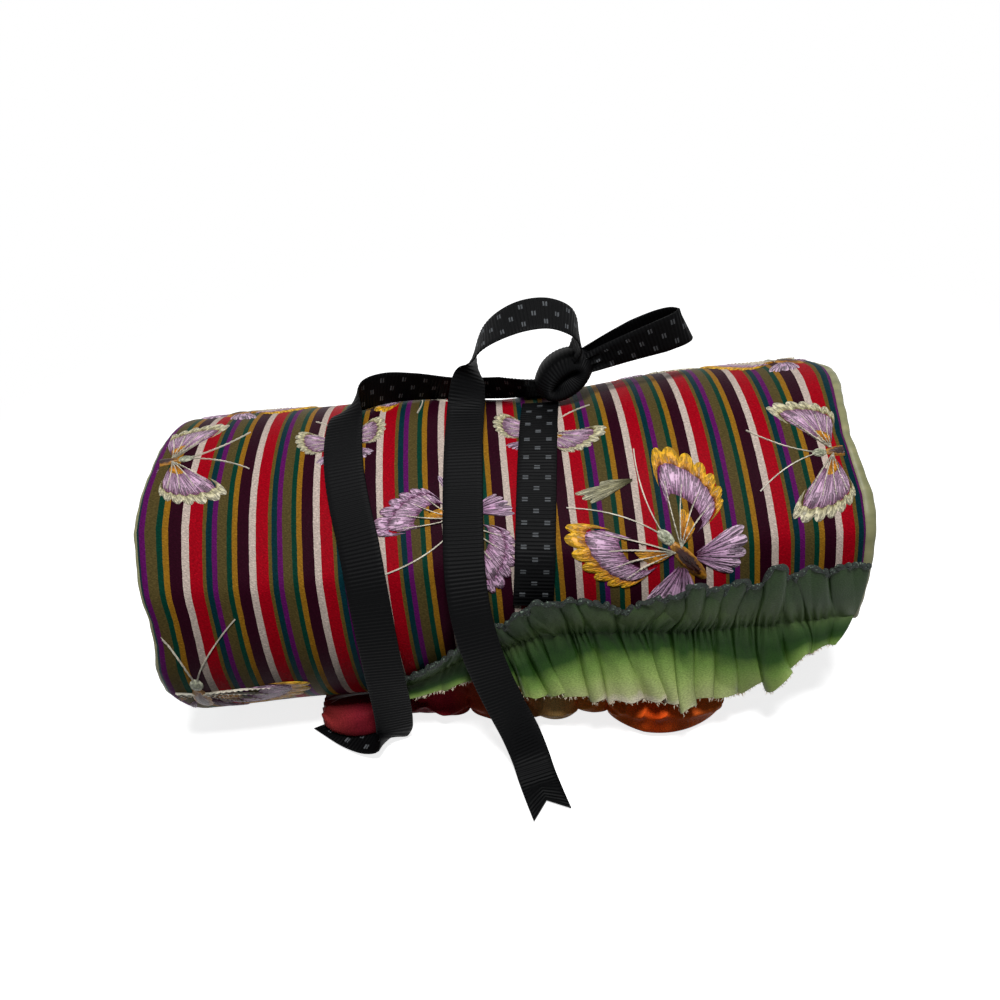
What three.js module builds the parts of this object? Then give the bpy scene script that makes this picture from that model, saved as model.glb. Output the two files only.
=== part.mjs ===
// Jewelry roll: a padded brocade mat wound about one and a half turns round a stuffed bolster,
// with a ruffled trim along its flap and a ribbon tied round its waist in a bow.
// Millimetres. X runs along the roll, -Y is the front with the ruffle, +Z is up, and it lies on z = 0.
import * as THREE from 'three';

// The wound mat. Angles are in degrees round the roll: 0 is the front, 90 the top, 180 the back.
const ROLL_LENGTH = 225;
const HALF_DEPTH = 58;
const HALF_HEIGHT = 50;
const FLATTENED = 2.6;
const COVER = 0.9;
const PADDING = 4.2;
const LINING = 0.9;
const LAYER_GAP = 0.3;
const TURN_GAP = 2.6;
const COVER_INSET = 1.5;
const PADDING_INSET = 3.5;

// Fold lines of the mat, between the flap's free edge and the inner end.
const FOLD_ANGLES = [30, 80, 130, 186, 242, 298, 356, 416];
const INNER_END_ANGLE = 478;
const FOLD_GAP = 0.3;

// The flap's free edge is cut in an S: short on the right, long on the left where it runs under the roll.
const EDGE_ANGLE_RIGHT = -6;
const EDGE_ANGLE_LEFT = -46;
const EDGE_CURVE_RIGHT_X = 10;
const EDGE_CURVE_LEFT_X = -55;

// The ribbon draws the roll in at its waist.
const RIBBON_WIDTH = 12.7;
const RIBBON = 0.6;
const RIBBON_GAP = 0.4;
const WAIST_X = 12;
const WAIST_DEPTH = 4.2;
const WAIST_SPREAD = 30;

// The mat's ends spread sideways at the roll's front, where nothing holds them in.
const END_BULGE = 4.2;
const BULGE_ANGLE = 18;
const BULGE_SPREAD = 52;
const BULGE_POWER = 8;

// Green ruffle, gathered on one seam; pairs give the width of each frill at stations along the roll.
const RUFFLE_LEFT_X = -32;
const RUFFLE_UPPER = [[-32, 5], [-18, 7], [-4, 10], [8, 12.5], [28, 12], [60, 14], [90, 15.5], [111, 17]];
const RUFFLE_LOWER = [
  [-32, 4], [-20, 6], [-6, 13], [5, 23], [20, 26], [45, 28], [65, 24], [80, 20], [92, 12], [111, 5],
];
const RUFFLE_SEAM_ANGLE = 9;
const RUFFLE_CLOTH = 0.7;
const RUFFLE_FOLDS = 11;
const RUFFLE_SWELL = 3.5;
const RUFFLE_LIFT = 2.6;
const RUFFLE_HEM_LIFT = 3.5;
const RUFFLE_HANG = 0.995;

// Ruched burgundy trim under the ruffle, from the flap's edge to the table.
const RUCHE_PINCHES = [-70, -43, -18, 1, 19, 29, 65];
const RUCHE_CLOTH = 1;
const RUCHE_PUFF = 8;
const RUCHE_PINCH = 0.45;
const RUCHE_SEAM_ANGLE = 1;
const RUCHE_REACH_LEFT = -7;
const RUCHE_REACH_RIGHT = 0;
const RUCHE_REACH_PUFF = 7;
const RUCHE_FLOOR_GAP = 1.8;

// Bolster in the core, sewn to the mat's inner end.
const BOLSTER_LENGTH = 168;
const BOLSTER_SKIN = 0.9;
const BOLSTER_CAP = 2.4;
const BOLSTER_SIDE_ROOM = 10;

// Zip pocket on the bottom panel.
const POCKET_LENGTH = 206;
const POCKET_CLOTH = 0.8;
const POCKET_BACK_ANGLE = 246;
const POCKET_FRONT_ANGLE = 273;
const POCKET_GAP = 0.8;
const ZIP_Y = -10;
const ZIP_TAPE_WIDTH = 3.6;
const ZIP_TAPE = 0.6;
const ZIP_TAPE_CHAMFER = 0.2;
const ZIP_COIL_WIDTH = 3;
const ZIP_COIL_HEIGHT = 1.6;
const ZIP_COIL_CHAMFER = 0.7;
const ZIP_STOP_LENGTH = 3;
const ZIP_STOP_CHAMFER = 0.4;
const SLIDER_LENGTH = 8;
const SLIDER_WIDTH = 6;
const SLIDER_HEIGHT = 2.4;
const SLIDER_INSET = 3;
const SLIDER_CHAMFER = 0.8;
const PULL_LENGTH = 11;
const PULL_WIDTH = 4;
const PULL_THICKNESS = 1.2;
const PULL_CHAMFER = 0.4;
const PULL_GAP = 0.5;
const ZIP_ROOM = 0.6;

// Slip pocket on the lower back panel, with a bound mouth.
const SLIP_LENGTH = 190;
const SLIP_MOUTH_ANGLE = 196;
const SLIP_BINDING_ANGLE = 201;
const SLIP_BOTTOM_ANGLE = 236;
const SLIP_BINDING = 1.8;

const HALF_LENGTH = ROLL_LENGTH / 2;
const MAT = COVER + PADDING + LINING + 2 * LAYER_GAP;
const PITCH = MAT + TURN_GAP;
const BOTTOM_ANGLE = 270;
const TOP_INNER_ANGLE = 450;
const AXIS_Z = HALF_HEIGHT - PITCH * BOTTOM_ANGLE / 360 - FLATTENED;
const BAND_EDGE = 8;
const X_STEPS = [-70, -45, -25, -BAND_EDGE, BAND_EDGE, 25, 45, 70];

const brocade = new THREE.MeshStandardMaterial({ color: 0x7a1730, roughness: 0.42, metalness: 0 });
const batting = new THREE.MeshStandardMaterial({ color: 0xe9e5da, roughness: 0.95, metalness: 0 });
const satin = new THREE.MeshStandardMaterial({ color: 0xb7c295, roughness: 0.45, metalness: 0 });
const grosgrain = new THREE.MeshStandardMaterial({ color: 0x15161b, roughness: 0.7, metalness: 0 });
const taffeta = new THREE.MeshStandardMaterial({ color: 0x587a48, roughness: 0.5, metalness: 0 });
const silk = new THREE.MeshStandardMaterial({ color: 0x8c2c22, roughness: 0.4, metalness: 0 });
const zipTape = new THREE.MeshStandardMaterial({ color: 0x8a9a6c, roughness: 0.85, metalness: 0 });
const nylon = new THREE.MeshStandardMaterial({ color: 0xa9b48c, roughness: 0.5, metalness: 0 });
const brass = new THREE.MeshStandardMaterial({ color: 0xb08d4f, roughness: 0.35, metalness: 1 });

const roll = new THREE.Group();
const radians = THREE.MathUtils.degToRad;

// How far the ribbon pulls the surface in at x.
function waist(x) {
  const away = (x - WAIST_X) / WAIST_SPREAD;
  return WAIST_DEPTH * Math.exp(-away * away);
}

// A value that passes from its left to its right size along the curve of the flap's edge.
function alongEdge(x, left, right) {
  const share = THREE.MathUtils.smoothstep(x, EDGE_CURVE_LEFT_X, EDGE_CURVE_RIGHT_X);
  return THREE.MathUtils.lerp(left, right, share);
}

// Angle of the flap's free edge at x.
function edgeAngle(x) {
  return alongEdge(x, EDGE_ANGLE_LEFT, EDGE_ANGLE_RIGHT);
}

// Half width and half height of the winding at an angle, this deep under the cover's face.
function windingRadii(x, angle, depth) {
  const inward = PITCH * angle / 360 + depth + waist(x);
  return [HALF_DEPTH - inward, HALF_HEIGHT - inward];
}

// How far the ends spread sideways at an angle, less and less towards the middle.
function endBulge(x, angle) {
  const away = (angle - BULGE_ANGLE) / BULGE_SPREAD;
  return Math.sign(x) * END_BULGE * Math.exp(-away * away) * (Math.abs(x) / HALF_LENGTH) ** BULGE_POWER;
}

// Value at x along straight lines between pairs of a station and a value.
function between(pairs, x) {
  const next = pairs.findIndex(([station]) => station > x);
  if (next <= 0) {
    return pairs.at(next)[1];
  }
  const [[fromX, from], [toX, to]] = [pairs[next - 1], pairs[next]];
  return THREE.MathUtils.mapLinear(x, fromX, toX, from, to);
}

// A point of the oval winding, flattened where it lies on the table.
function onRoll(x, angle, depth) {
  const [half, high] = windingRadii(x, angle, depth);
  const y = -half * Math.cos(radians(angle));
  const z = AXIS_Z + high * Math.sin(radians(angle));
  return new THREE.Vector3(x + endBulge(x, angle), y, Math.max(z, depth));
}

// Angle that spans a length of cloth at an angle of the roll.
function angleOf(length, x, angle) {
  const near = onRoll(x, angle, 0).distanceTo(onRoll(x, angle + 1, 0));
  return length / near;
}

// Stations along X, closest together at the waist.
function stations(half) {
  const inner = X_STEPS.map((step) => WAIST_X + step).filter((x) => Math.abs(x) < half - 1);
  return [-half, ...inner, half];
}

function addMesh(name, vertices, faces, material) {
  let volume = 0;
  for (const [a, b, c] of faces) {
    volume += vertices[a].dot(vertices[b].clone().cross(vertices[c]));
  }
  const outward = volume > 0 ? faces : faces.map(([a, b, c]) => [a, c, b]);
  const geometry = new THREE.BufferGeometry();
  geometry.setFromPoints(vertices);
  geometry.setIndex(outward.flat());
  geometry.computeVertexNormals();
  const mesh = new THREE.Mesh(geometry, material);
  mesh.name = name;
  roll.add(mesh);
  return mesh;
}

// A closed sheet of cloth between two grids: point(i, j, side) with side 0 outside and 1 inside.
function addSheet(name, rows, columns, point, material) {
  const vertices = [];
  for (const side of [0, 1]) {
    for (let i = 0; i <= rows; i++) {
      for (let j = 0; j <= columns; j++) {
        vertices.push(point(i, j, side));
      }
    }
  }
  const at = (i, j, side) => (side * (rows + 1) + i) * (columns + 1) + j;
  const faces = [];
  const quad = (a, b, c, d) => faces.push([a, b, c], [a, c, d]);
  for (let i = 0; i < rows; i++) {
    for (let j = 0; j < columns; j++) {
      quad(at(i, j, 0), at(i + 1, j, 0), at(i + 1, j + 1, 0), at(i, j + 1, 0));
      quad(at(i, j, 1), at(i, j + 1, 1), at(i + 1, j + 1, 1), at(i + 1, j, 1));
    }
    quad(at(i, 0, 0), at(i, 0, 1), at(i + 1, 0, 1), at(i + 1, 0, 0));
    quad(at(i, columns, 0), at(i + 1, columns, 0), at(i + 1, columns, 1), at(i, columns, 1));
  }
  for (let j = 0; j < columns; j++) {
    quad(at(0, j, 0), at(0, j + 1, 0), at(0, j + 1, 1), at(0, j, 1));
    quad(at(rows, j, 0), at(rows, j, 1), at(rows, j + 1, 1), at(rows, j + 1, 0));
  }
  return addMesh(name, vertices, faces, material);
}

// A closed body of rings along X: point(i, k) for ring i and corner k, with flat ends.
function addRings(name, rings, corners, point, material) {
  const vertices = [];
  for (let i = 0; i <= rings; i++) {
    for (let k = 0; k < corners; k++) {
      vertices.push(point(i, k));
    }
  }
  const at = (i, k) => i * corners + k % corners;
  const faces = [];
  for (let i = 0; i < rings; i++) {
    for (let k = 0; k < corners; k++) {
      faces.push([at(i, k), at(i, k + 1), at(i + 1, k + 1)]);
      faces.push([at(i, k), at(i + 1, k + 1), at(i + 1, k)]);
    }
  }
  for (let k = 1; k < corners - 1; k++) {
    faces.push([at(0, 0), at(0, k + 1), at(0, k)]);
    faces.push([at(rings, 0), at(rings, k), at(rings, k + 1)]);
  }
  return addMesh(name, vertices, faces, material);
}

// Mat: each panel between two folds has a brocade cover, a batting pad and a satin lining.
const PANEL_NAMES = [
  'flap_end', 'flap_front', 'top', 'upper_back', 'lower_back', 'bottom',
  'inner_lower_front', 'inner_upper_front', 'inner_top',
];
const PANEL_STEPS = 4;

function addPanelLayer(name, start, end, inset, depth, thickness, material) {
  const xs = stations(HALF_LENGTH - inset);
  const point = (i, j, side) => {
    const x = xs[i];
    const from = start === null ? edgeAngle(x) : start + angleOf(FOLD_GAP / 2, x, start);
    const to = end === INNER_END_ANGLE ? end : end - angleOf(FOLD_GAP / 2, x, end);
    return onRoll(x, THREE.MathUtils.lerp(from, to, j / PANEL_STEPS), depth + side * thickness);
  };
  addSheet(name, xs.length - 1, PANEL_STEPS, point, material);
}

PANEL_NAMES.forEach((panel, n) => {
  const start = n === 0 ? null : FOLD_ANGLES[n - 1];
  const end = n < FOLD_ANGLES.length ? FOLD_ANGLES[n] : INNER_END_ANGLE;
  const padDepth = COVER + LAYER_GAP;
  const liningDepth = padDepth + PADDING + LAYER_GAP;
  addPanelLayer(`cover_${panel}`, start, end, COVER_INSET, 0, COVER, brocade);
  addPanelLayer(`padding_${panel}`, start, end, PADDING_INSET, padDepth, PADDING, batting);
  addPanelLayer(`lining_${panel}`, start, end, 0, liningDepth, LINING, satin);
});

// Green ruffle: gathered on its seam above the flap's edge, frilled above it and hanging below it.
const FOLD_STEPS = 6;
const RUFFLE_STEPS = RUFFLE_FOLDS * FOLD_STEPS;
const RUFFLE_ACROSS = 6;

function onRuffle(i, j, side) {
  const x = THREE.MathUtils.lerp(RUFFLE_LEFT_X, HALF_LENGTH - COVER_INSET, i / RUFFLE_STEPS);
  const share = 1 - 2 * j / RUFFLE_ACROSS;
  const out = Math.abs(share);
  const seam = edgeAngle(x) + RUFFLE_SEAM_ANGLE;
  const wave = 0.5 - 0.5 * Math.cos(2 * Math.PI * i / FOLD_STEPS);
  const swell = RUFFLE_SWELL * out * wave;
  const cloth = RUFFLE_CLOTH * (1 - side);
  if (share >= 0) {
    const angle = seam + angleOf(between(RUFFLE_UPPER, x) * share, x, seam);
    return onRoll(x, angle, -(RIBBON_GAP + RUFFLE_LIFT * out + swell + cloth));
  }
  const top = onRoll(x, seam, -RIBBON_GAP);
  const length = between(RUFFLE_LOWER, x);
  const floor = RUCHE_FLOOR_GAP + RUCHE_PUFF + 2 * LAYER_GAP;
  const drop = Math.min(length * RUFFLE_HANG, Math.max(top.z - floor, 0));
  const forward = Math.sqrt(length * length - drop * drop);
  const normal = new THREE.Vector3(0, -drop, forward).normalize();
  const away = RUFFLE_HEM_LIFT * out + swell + cloth;
  top.add(new THREE.Vector3(0, -forward * out, -drop * out));
  return top.addScaledVector(normal, away);
}
addSheet('green_ruffle', RUFFLE_STEPS, RUFFLE_ACROSS, onRuffle, taffeta);

// Ruched trim: thin where it is sewn to the flap's edge, swelling into puffs on the table.
const RUCHE_STEPS = (RUCHE_PINCHES.length - 1) * FOLD_STEPS;
const RUCHE_ACROSS = 6;

function onRuche(i, j, side) {
  const x = between(RUCHE_PINCHES.map((pinch, n) => [n * FOLD_STEPS, pinch]), i);
  const down = j / RUCHE_ACROSS;
  const sewn = onRoll(x, edgeAngle(x) + RUCHE_SEAM_ANGLE, -LAYER_GAP - RUCHE_CLOTH / 2);
  const swell = Math.abs(Math.sin(Math.PI * i / FOLD_STEPS));
  const puff = THREE.MathUtils.lerp(RUCHE_PINCH, 1, swell);
  const thick = RUCHE_CLOTH + RUCHE_PUFF * puff * Math.sin(Math.PI * down ** 3);
  const reach = HALF_DEPTH + alongEdge(x, RUCHE_REACH_LEFT, RUCHE_REACH_RIGHT) + RUCHE_REACH_PUFF * swell;
  const foot = new THREE.Vector3(x, -reach, RUCHE_FLOOR_GAP + RUCHE_CLOTH);
  const bendY = Math.min(sewn.y, PITCH - HALF_DEPTH);
  const bend = new THREE.Vector3(x, bendY, RUCHE_FLOOR_GAP + RUCHE_PUFF / 2);
  const path = new THREE.QuadraticBezierCurve3(sewn, bend, foot);
  const along = path.getTangent(down);
  const normal = new THREE.Vector3(0, along.z, -along.y);
  const place = path.getPoint(down).addScaledVector(normal, (0.5 - side) * thick);
  place.z = Math.max(place.z, RUCHE_FLOOR_GAP + (1 - side) * RUCHE_CLOTH / 2);
  return place;
}
addSheet('ruched_trim', RUCHE_STEPS, RUCHE_ACROSS, onRuche, silk);

// Ribbon bands: one over the front and top, the other round the back and under the roll.
// Both lean to the right on their way up to the knot.
const KNOT_ANGLE = 109;
const KNOT_HALF_ANGLE = 12;
const FRONT_BAND_ANGLE = 15;
const BACK_BAND_ANGLE = 338;
const BAND_LOW_X = 7;
const BAND_HIGH_X = 15.5;
const BAND_SIDE = 10;
const BAND_STEP_ANGLE = 6;

function addBand(name, from, to, fromX, toX) {
  const steps = Math.round((to - from) / BAND_STEP_ANGLE);
  const point = (i, j, side) => {
    const angle = THREE.MathUtils.lerp(from, to, i / steps);
    const place = onRoll(WAIST_X + BAND_SIDE, angle, -RIBBON_GAP - RIBBON * (1 - side));
    place.x = THREE.MathUtils.lerp(fromX, toX, i / steps) + (j - 0.5) * RIBBON_WIDTH;
    return place;
  };
  addSheet(name, steps, 1, point, grosgrain);
}
addBand('ribbon_front_band', FRONT_BAND_ANGLE, KNOT_ANGLE - KNOT_HALF_ANGLE, BAND_LOW_X, BAND_HIGH_X);
addBand('ribbon_back_band', KNOT_ANGLE + KNOT_HALF_ANGLE, BACK_BAND_ANGLE, BAND_HIGH_X, BAND_LOW_X);

// Knot: a rounded ball of wrapped ribbon on the roll's top.
const KNOT_HALF = new THREE.Vector3(9.5, 7, 8.5);
const KNOT_END = 0.55;
const KNOT_RIGHT = 12;
const KNOT_RINGS = 8;
const KNOT_CORNERS = 12;
const knotSeat = onRoll(WAIST_X + BAND_EDGE, KNOT_ANGLE, -RIBBON_GAP);
const knot = new THREE.Vector3(WAIST_X + KNOT_RIGHT, knotSeat.y, knotSeat.z + KNOT_HALF.z + RIBBON_GAP);
addRings('ribbon_knot', KNOT_RINGS, KNOT_CORNERS, (i, k) => {
  const along = 2 * i / KNOT_RINGS - 1;
  const size = THREE.MathUtils.lerp(KNOT_END, 1, Math.sqrt(1 - along * along));
  const turn = 2 * Math.PI * k / KNOT_CORNERS;
  const y = KNOT_HALF.y * size * Math.cos(turn);
  const z = KNOT_HALF.z * size * Math.sin(turn);
  return new THREE.Vector3(along * KNOT_HALF.x, y, z).add(knot);
}, grosgrain);

// A flat strip of ribbon along a route, each stop giving its place and which way its width points.
function addStrip(name, stops, steps) {
  const path = new THREE.CatmullRomCurve3(stops.map(([place]) => place));
  const widths = new THREE.CatmullRomCurve3(stops.map(([, across]) => new THREE.Vector3(...across)));
  const point = (i, j, side) => {
    const along = path.getTangent(i / steps);
    const across = widths.getPoint(i / steps);
    across.addScaledVector(along, -across.dot(along)).normalize();
    const normal = new THREE.Vector3().crossVectors(along, across);
    const place = path.getPoint(i / steps).addScaledVector(across, (j - 0.5) * RIBBON_WIDTH);
    return place.addScaledVector(normal, (0.5 - side) * RIBBON);
  };
  addSheet(name, steps, 1, point, grosgrain);
}

// Stops of the ribbon's free stretches: over the roll, from the knot, or ahead of the roll's front.
const over = (x, angle, lift) => onRoll(x, angle, -lift);
const fromKnot = (x, y, z) => new THREE.Vector3(x, y, z).add(knot);
const ahead = (x, forward, z) => new THREE.Vector3(x, -HALF_DEPTH - forward, z);
const RIGHTWARD = [1, 0, 0];
const BACKWARD = [0, 1, 0];
const TOPPED = [0, 0.92, 0.39];
const ON_EDGE = [0, -0.36, 0.93];
const STANDING = [-0.42, 0, 0.9];

addStrip('ribbon_tail_right', [
  [fromKnot(-28.9, 0.1, 11), [0.2, 0.98, 0]], [fromKnot(-30, -1, 8.4), [0.45, 0.9, 0]],
  [fromKnot(-31.4, -5, 4.2), [0.8, 0.6, 0]], [fromKnot(-32.8, -10.8, -0.5), [0.96, 0.25, 0]],
  [over(-9.9, 85, 2.4), RIGHTWARD],
  [over(-10.6, 74, 2), RIGHTWARD], [over(-11.5, 60, 1.6), RIGHTWARD], [over(-12.4, 45, 1.8), RIGHTWARD],
  [over(-12.9, 31, 3.4), RIGHTWARD], [over(-12.3, 19, 7.2), RIGHTWARD], [over(-10.8, 8, 9), RIGHTWARD],
  [ahead(-7.8, 8.6, 34), RIGHTWARD], [ahead(-4.2, 11.5, 22), [1, 0.05, 0]],
  [ahead(-1, 13.8, 12), [1, 0.15, 0]], [ahead(1.4, 17.5, 4), [1, 0.25, 0]],
  [ahead(2.9, 23, 1.3), [1, 0.3, 0]], [ahead(4.7, 30, 1.1), [1, 0.35, 0]],
  [ahead(6.8, 37.6, 1.1), [1, 0.4, 0]],
], 50);

addStrip('ribbon_tail_left', [
  [fromKnot(-10.2, 2.5, -4.4), ON_EDGE], [fromKnot(-22, 6.2, -5.3), ON_EDGE],
  [fromKnot(-38, 7, -4.1), ON_EDGE], [fromKnot(-52, 4.4, -0.9), [0, -0.2, 0.98]],
  [fromKnot(-61.5, 0.6, 1.9), [0.05, -0.05, 0.99]], [fromKnot(-68.5, -4.6, 2.9), [0.45, 0.2, 0.87]],
  [fromKnot(-72.4, -11.6, 2.4), [0.8, 0.35, 0.48]], [fromKnot(-73.8, -20, 0.2), [0.97, 0.15, 0.18]],
  [over(-49, 72, 1.9), RIGHTWARD], [over(-47.2, 58, 1.6), RIGHTWARD], [over(-44.8, 44, 1.5), RIGHTWARD],
  [over(-43.3, 29, 1.5), RIGHTWARD], [over(-42.8, 12, 1.8), RIGHTWARD], [ahead(-42.8, 3, 34), RIGHTWARD],
  [ahead(-42.9, 3.4, 20), [0.99, 0.1, 0]], [ahead(-43.4, 4, 11), [0.97, 0.22, 0]],
  [ahead(-44.2, 4.6, 6.4), [0.93, 0.36, 0]], [ahead(-46.4, 5.2, 4.2), [0.84, 0.54, 0]],
  [ahead(-51.4, 4, 2.4), [0.7, 0.71, 0]], [ahead(-58.6, 0, 1.3), [0.64, 0.77, 0]],
  [ahead(-70, -9.2, 0.8), [0.63, 0.77, 0]],
], 64);

addStrip('ribbon_loop_left', [
  [fromKnot(3.6, 0, 8.7), BACKWARD], [fromKnot(7, 0, 14.2), [0, 0.95, 0.3]],
  [fromKnot(5, -0.3, 20.8), TOPPED], [fromKnot(-2, -0.6, 25.2), TOPPED],
  [fromKnot(-11, -0.7, 25.4), TOPPED], [fromKnot(-20, -0.5, 22), [0.1, 0.93, 0.3]],
  [fromKnot(-25.6, -0.1, 17.4), [0.15, 0.95, 0.15]], [fromKnot(-27.8, 0.3, 13.6), [0.15, 0.98, 0]],
], 30);

addStrip('ribbon_loop_right', [
  [fromKnot(9.6, -1.5, 5.4), STANDING], [fromKnot(22, -3, 10), STANDING],
  [fromKnot(36, -3.2, 14.5), STANDING], [fromKnot(41, -1.8, 15.6), STANDING],
  [fromKnot(42.8, 0.3, 15.8), STANDING],
  [fromKnot(41, 2.4, 15.4), STANDING], [fromKnot(36, 3.6, 14.2), STANDING],
  [fromKnot(22, 2.8, 9.8), STANDING], [fromKnot(9.7, 1.4, 5.3), STANDING],
], 40);

// Zip pocket: a cloth panel on the bottom panel's lining, with a coil zip along its front.
const tapeOffset = (ZIP_COIL_WIDTH + ZIP_TAPE_WIDTH) / 2 + LAYER_GAP;
const tapeEdge = ZIP_Y - tapeOffset - ZIP_TAPE_WIDTH / 2;
const [waistHalf, waistHigh] = windingRadii(WAIST_X, BOTTOM_ANGLE, MAT);
const zipBase = AXIS_Z - waistHigh * Math.sqrt(1 - (tapeEdge / waistHalf) ** 2) + POCKET_GAP;
const coilTop = zipBase + ZIP_TAPE + ZIP_COIL_HEIGHT;
const sliderBase = coilTop + LAYER_GAP;
const pullBase = sliderBase + SLIDER_HEIGHT + PULL_GAP;
const pocketHalf = POCKET_LENGTH / 2;

const pocketXs = stations(pocketHalf);
addSheet('zip_pocket_panel', pocketXs.length - 1, PANEL_STEPS, (i, j, side) => {
  const angle = THREE.MathUtils.lerp(POCKET_BACK_ANGLE, POCKET_FRONT_ANGLE, j / PANEL_STEPS);
  return onRoll(pocketXs[i], angle, MAT + POCKET_GAP + side * POCKET_CLOTH);
}, satin);

// A block with its long edges chamfered: its profile across Y and Z runs along X.
function addBar(name, length, width, height, chamfer, centre, material) {
  const shape = new THREE.Shape();
  shape.moveTo(-width / 2, 0);
  shape.lineTo(width / 2, 0);
  shape.lineTo(width / 2, height - chamfer);
  shape.lineTo(width / 2 - chamfer, height);
  shape.lineTo(-width / 2 + chamfer, height);
  shape.lineTo(-width / 2, height - chamfer);
  shape.closePath();
  const geometry = new THREE.ExtrudeGeometry(shape, { depth: length, bevelEnabled: false });
  geometry.rotateX(Math.PI / 2);
  geometry.rotateZ(Math.PI / 2);
  geometry.translate(-length / 2, 0, 0);
  const mesh = new THREE.Mesh(geometry, material);
  mesh.name = name;
  mesh.position.copy(centre);
  roll.add(mesh);
  return mesh;
}

const coilLength = POCKET_LENGTH - 2 * (ZIP_STOP_LENGTH + LAYER_GAP);
const stopX = (POCKET_LENGTH - ZIP_STOP_LENGTH) / 2;
for (const [name, way] of [['zip_tape_front', -1], ['zip_tape_back', 1]]) {
  const centre = new THREE.Vector3(0, ZIP_Y + way * tapeOffset, zipBase);
  addBar(name, POCKET_LENGTH, ZIP_TAPE_WIDTH, ZIP_TAPE, ZIP_TAPE_CHAMFER, centre, zipTape);
}
const coilHeight = ZIP_TAPE + ZIP_COIL_HEIGHT;
const coilSeat = new THREE.Vector3(0, ZIP_Y, zipBase);
addBar('zip_coil', coilLength, ZIP_COIL_WIDTH, coilHeight, ZIP_COIL_CHAMFER, coilSeat, nylon);
for (const [name, way] of [['zip_stop_left', -1], ['zip_stop_right', 1]]) {
  const centre = new THREE.Vector3(way * stopX, ZIP_Y, zipBase);
  addBar(name, ZIP_STOP_LENGTH, ZIP_COIL_WIDTH, coilHeight + LAYER_GAP, ZIP_STOP_CHAMFER, centre, brass);
}
const sliderX = coilLength / 2 - SLIDER_INSET - SLIDER_LENGTH / 2;
const sliderSeat = new THREE.Vector3(sliderX, ZIP_Y, sliderBase);
addBar('zip_slider', SLIDER_LENGTH, SLIDER_WIDTH, SLIDER_HEIGHT, SLIDER_CHAMFER, sliderSeat, brass);
const pullSeat = new THREE.Vector3(sliderX + PULL_LENGTH / 2, ZIP_Y, pullBase);
addBar('zip_pull', PULL_LENGTH, PULL_WIDTH, PULL_THICKNESS, PULL_CHAMFER, pullSeat, brass);

// Slip pocket: a cloth panel and the binding along its mouth.
const slipXs = stations(SLIP_LENGTH / 2);
function addSlip(name, from, to, thickness, material) {
  addSheet(name, slipXs.length - 1, PANEL_STEPS, (i, j, side) => {
    const angle = THREE.MathUtils.lerp(from, to, j / PANEL_STEPS);
    return onRoll(slipXs[i], angle, MAT + LAYER_GAP + side * thickness);
  }, material);
}
addSlip('slip_pocket_binding', SLIP_MOUTH_ANGLE, SLIP_BINDING_ANGLE, SLIP_BINDING, brocade);
const bindingEdge = SLIP_BINDING_ANGLE + angleOf(LAYER_GAP, 0, SLIP_BINDING_ANGLE);
addSlip('slip_pocket_panel', bindingEdge, SLIP_BOTTOM_ANGLE, POCKET_CLOTH, satin);

// Bolster: an oval stuffing in a satin skin with padded end caps, under the mat's inner end.
const [, ceilingHigh] = windingRadii(HALF_LENGTH, TOP_INNER_ANGLE, MAT);
const bolsterTop = AXIS_Z + ceilingHigh - LAYER_GAP;
const bolsterBottom = pullBase + PULL_THICKNESS + ZIP_ROOM;
const bolsterHigh = (bolsterTop - bolsterBottom) / 2;
const bolsterZ = bolsterBottom + bolsterHigh;
const [coreFront] = windingRadii(HALF_LENGTH, 360, MAT);
const bolsterHalf = coreFront - BOLSTER_SIDE_ROOM;
const BOLSTER_CORNERS = 24;

function onBolster(x, k, depth) {
  const turn = 2 * Math.PI * k / BOLSTER_CORNERS;
  const inward = depth + waist(x);
  const y = (bolsterHalf - inward) * Math.cos(turn);
  const z = bolsterZ + (bolsterHigh - inward) * Math.sin(turn);
  return new THREE.Vector3(x, y, z);
}

const skinXs = stations(BOLSTER_LENGTH / 2 - BOLSTER_CAP - LAYER_GAP);
const skinDepth = BOLSTER_SKIN + LAYER_GAP;
const onStuffing = (i, k) => onBolster(skinXs[i], k, skinDepth);
addRings('bolster_stuffing', skinXs.length - 1, BOLSTER_CORNERS, onStuffing, batting);

// The skin is a sleeve: an outer and an inner wall joined at both ends.
function addSleeve(name, xs, corners, point, material) {
  const loop = xs.map((x) => [x, 0]).concat(xs.toReversed().map((x) => [x, 1]));
  const vertices = [];
  for (const [x, side] of loop) {
    for (let k = 0; k < corners; k++) {
      vertices.push(point(x, k, side));
    }
  }
  const at = (i, k) => (i % loop.length) * corners + k % corners;
  const faces = [];
  for (let i = 0; i < loop.length; i++) {
    for (let k = 0; k < corners; k++) {
      faces.push([at(i, k), at(i, k + 1), at(i + 1, k + 1)]);
      faces.push([at(i, k), at(i + 1, k + 1), at(i + 1, k)]);
    }
  }
  addMesh(name, vertices, faces, material);
}
const onSkin = (x, k, side) => onBolster(x, k, side * BOLSTER_SKIN);
addSleeve('bolster_skin', skinXs, BOLSTER_CORNERS, onSkin, satin);

// Each cap is crowned: shares of its thickness, and how far its rim has drawn in there.
const CAP_CROWN = [[0, 0], [0.5, 0.6], [1, 4]];
for (const [name, way] of [['bolster_cap_left', -1], ['bolster_cap_right', 1]]) {
  const base = BOLSTER_LENGTH / 2 - BOLSTER_CAP;
  addRings(name, CAP_CROWN.length - 1, BOLSTER_CORNERS, (i, k) => {
    const [share, depth] = CAP_CROWN[i];
    const rim = onBolster(way * base, k, depth);
    rim.x = way * (base + BOLSTER_CAP * share);
    return rim;
  }, satin);
}

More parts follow.
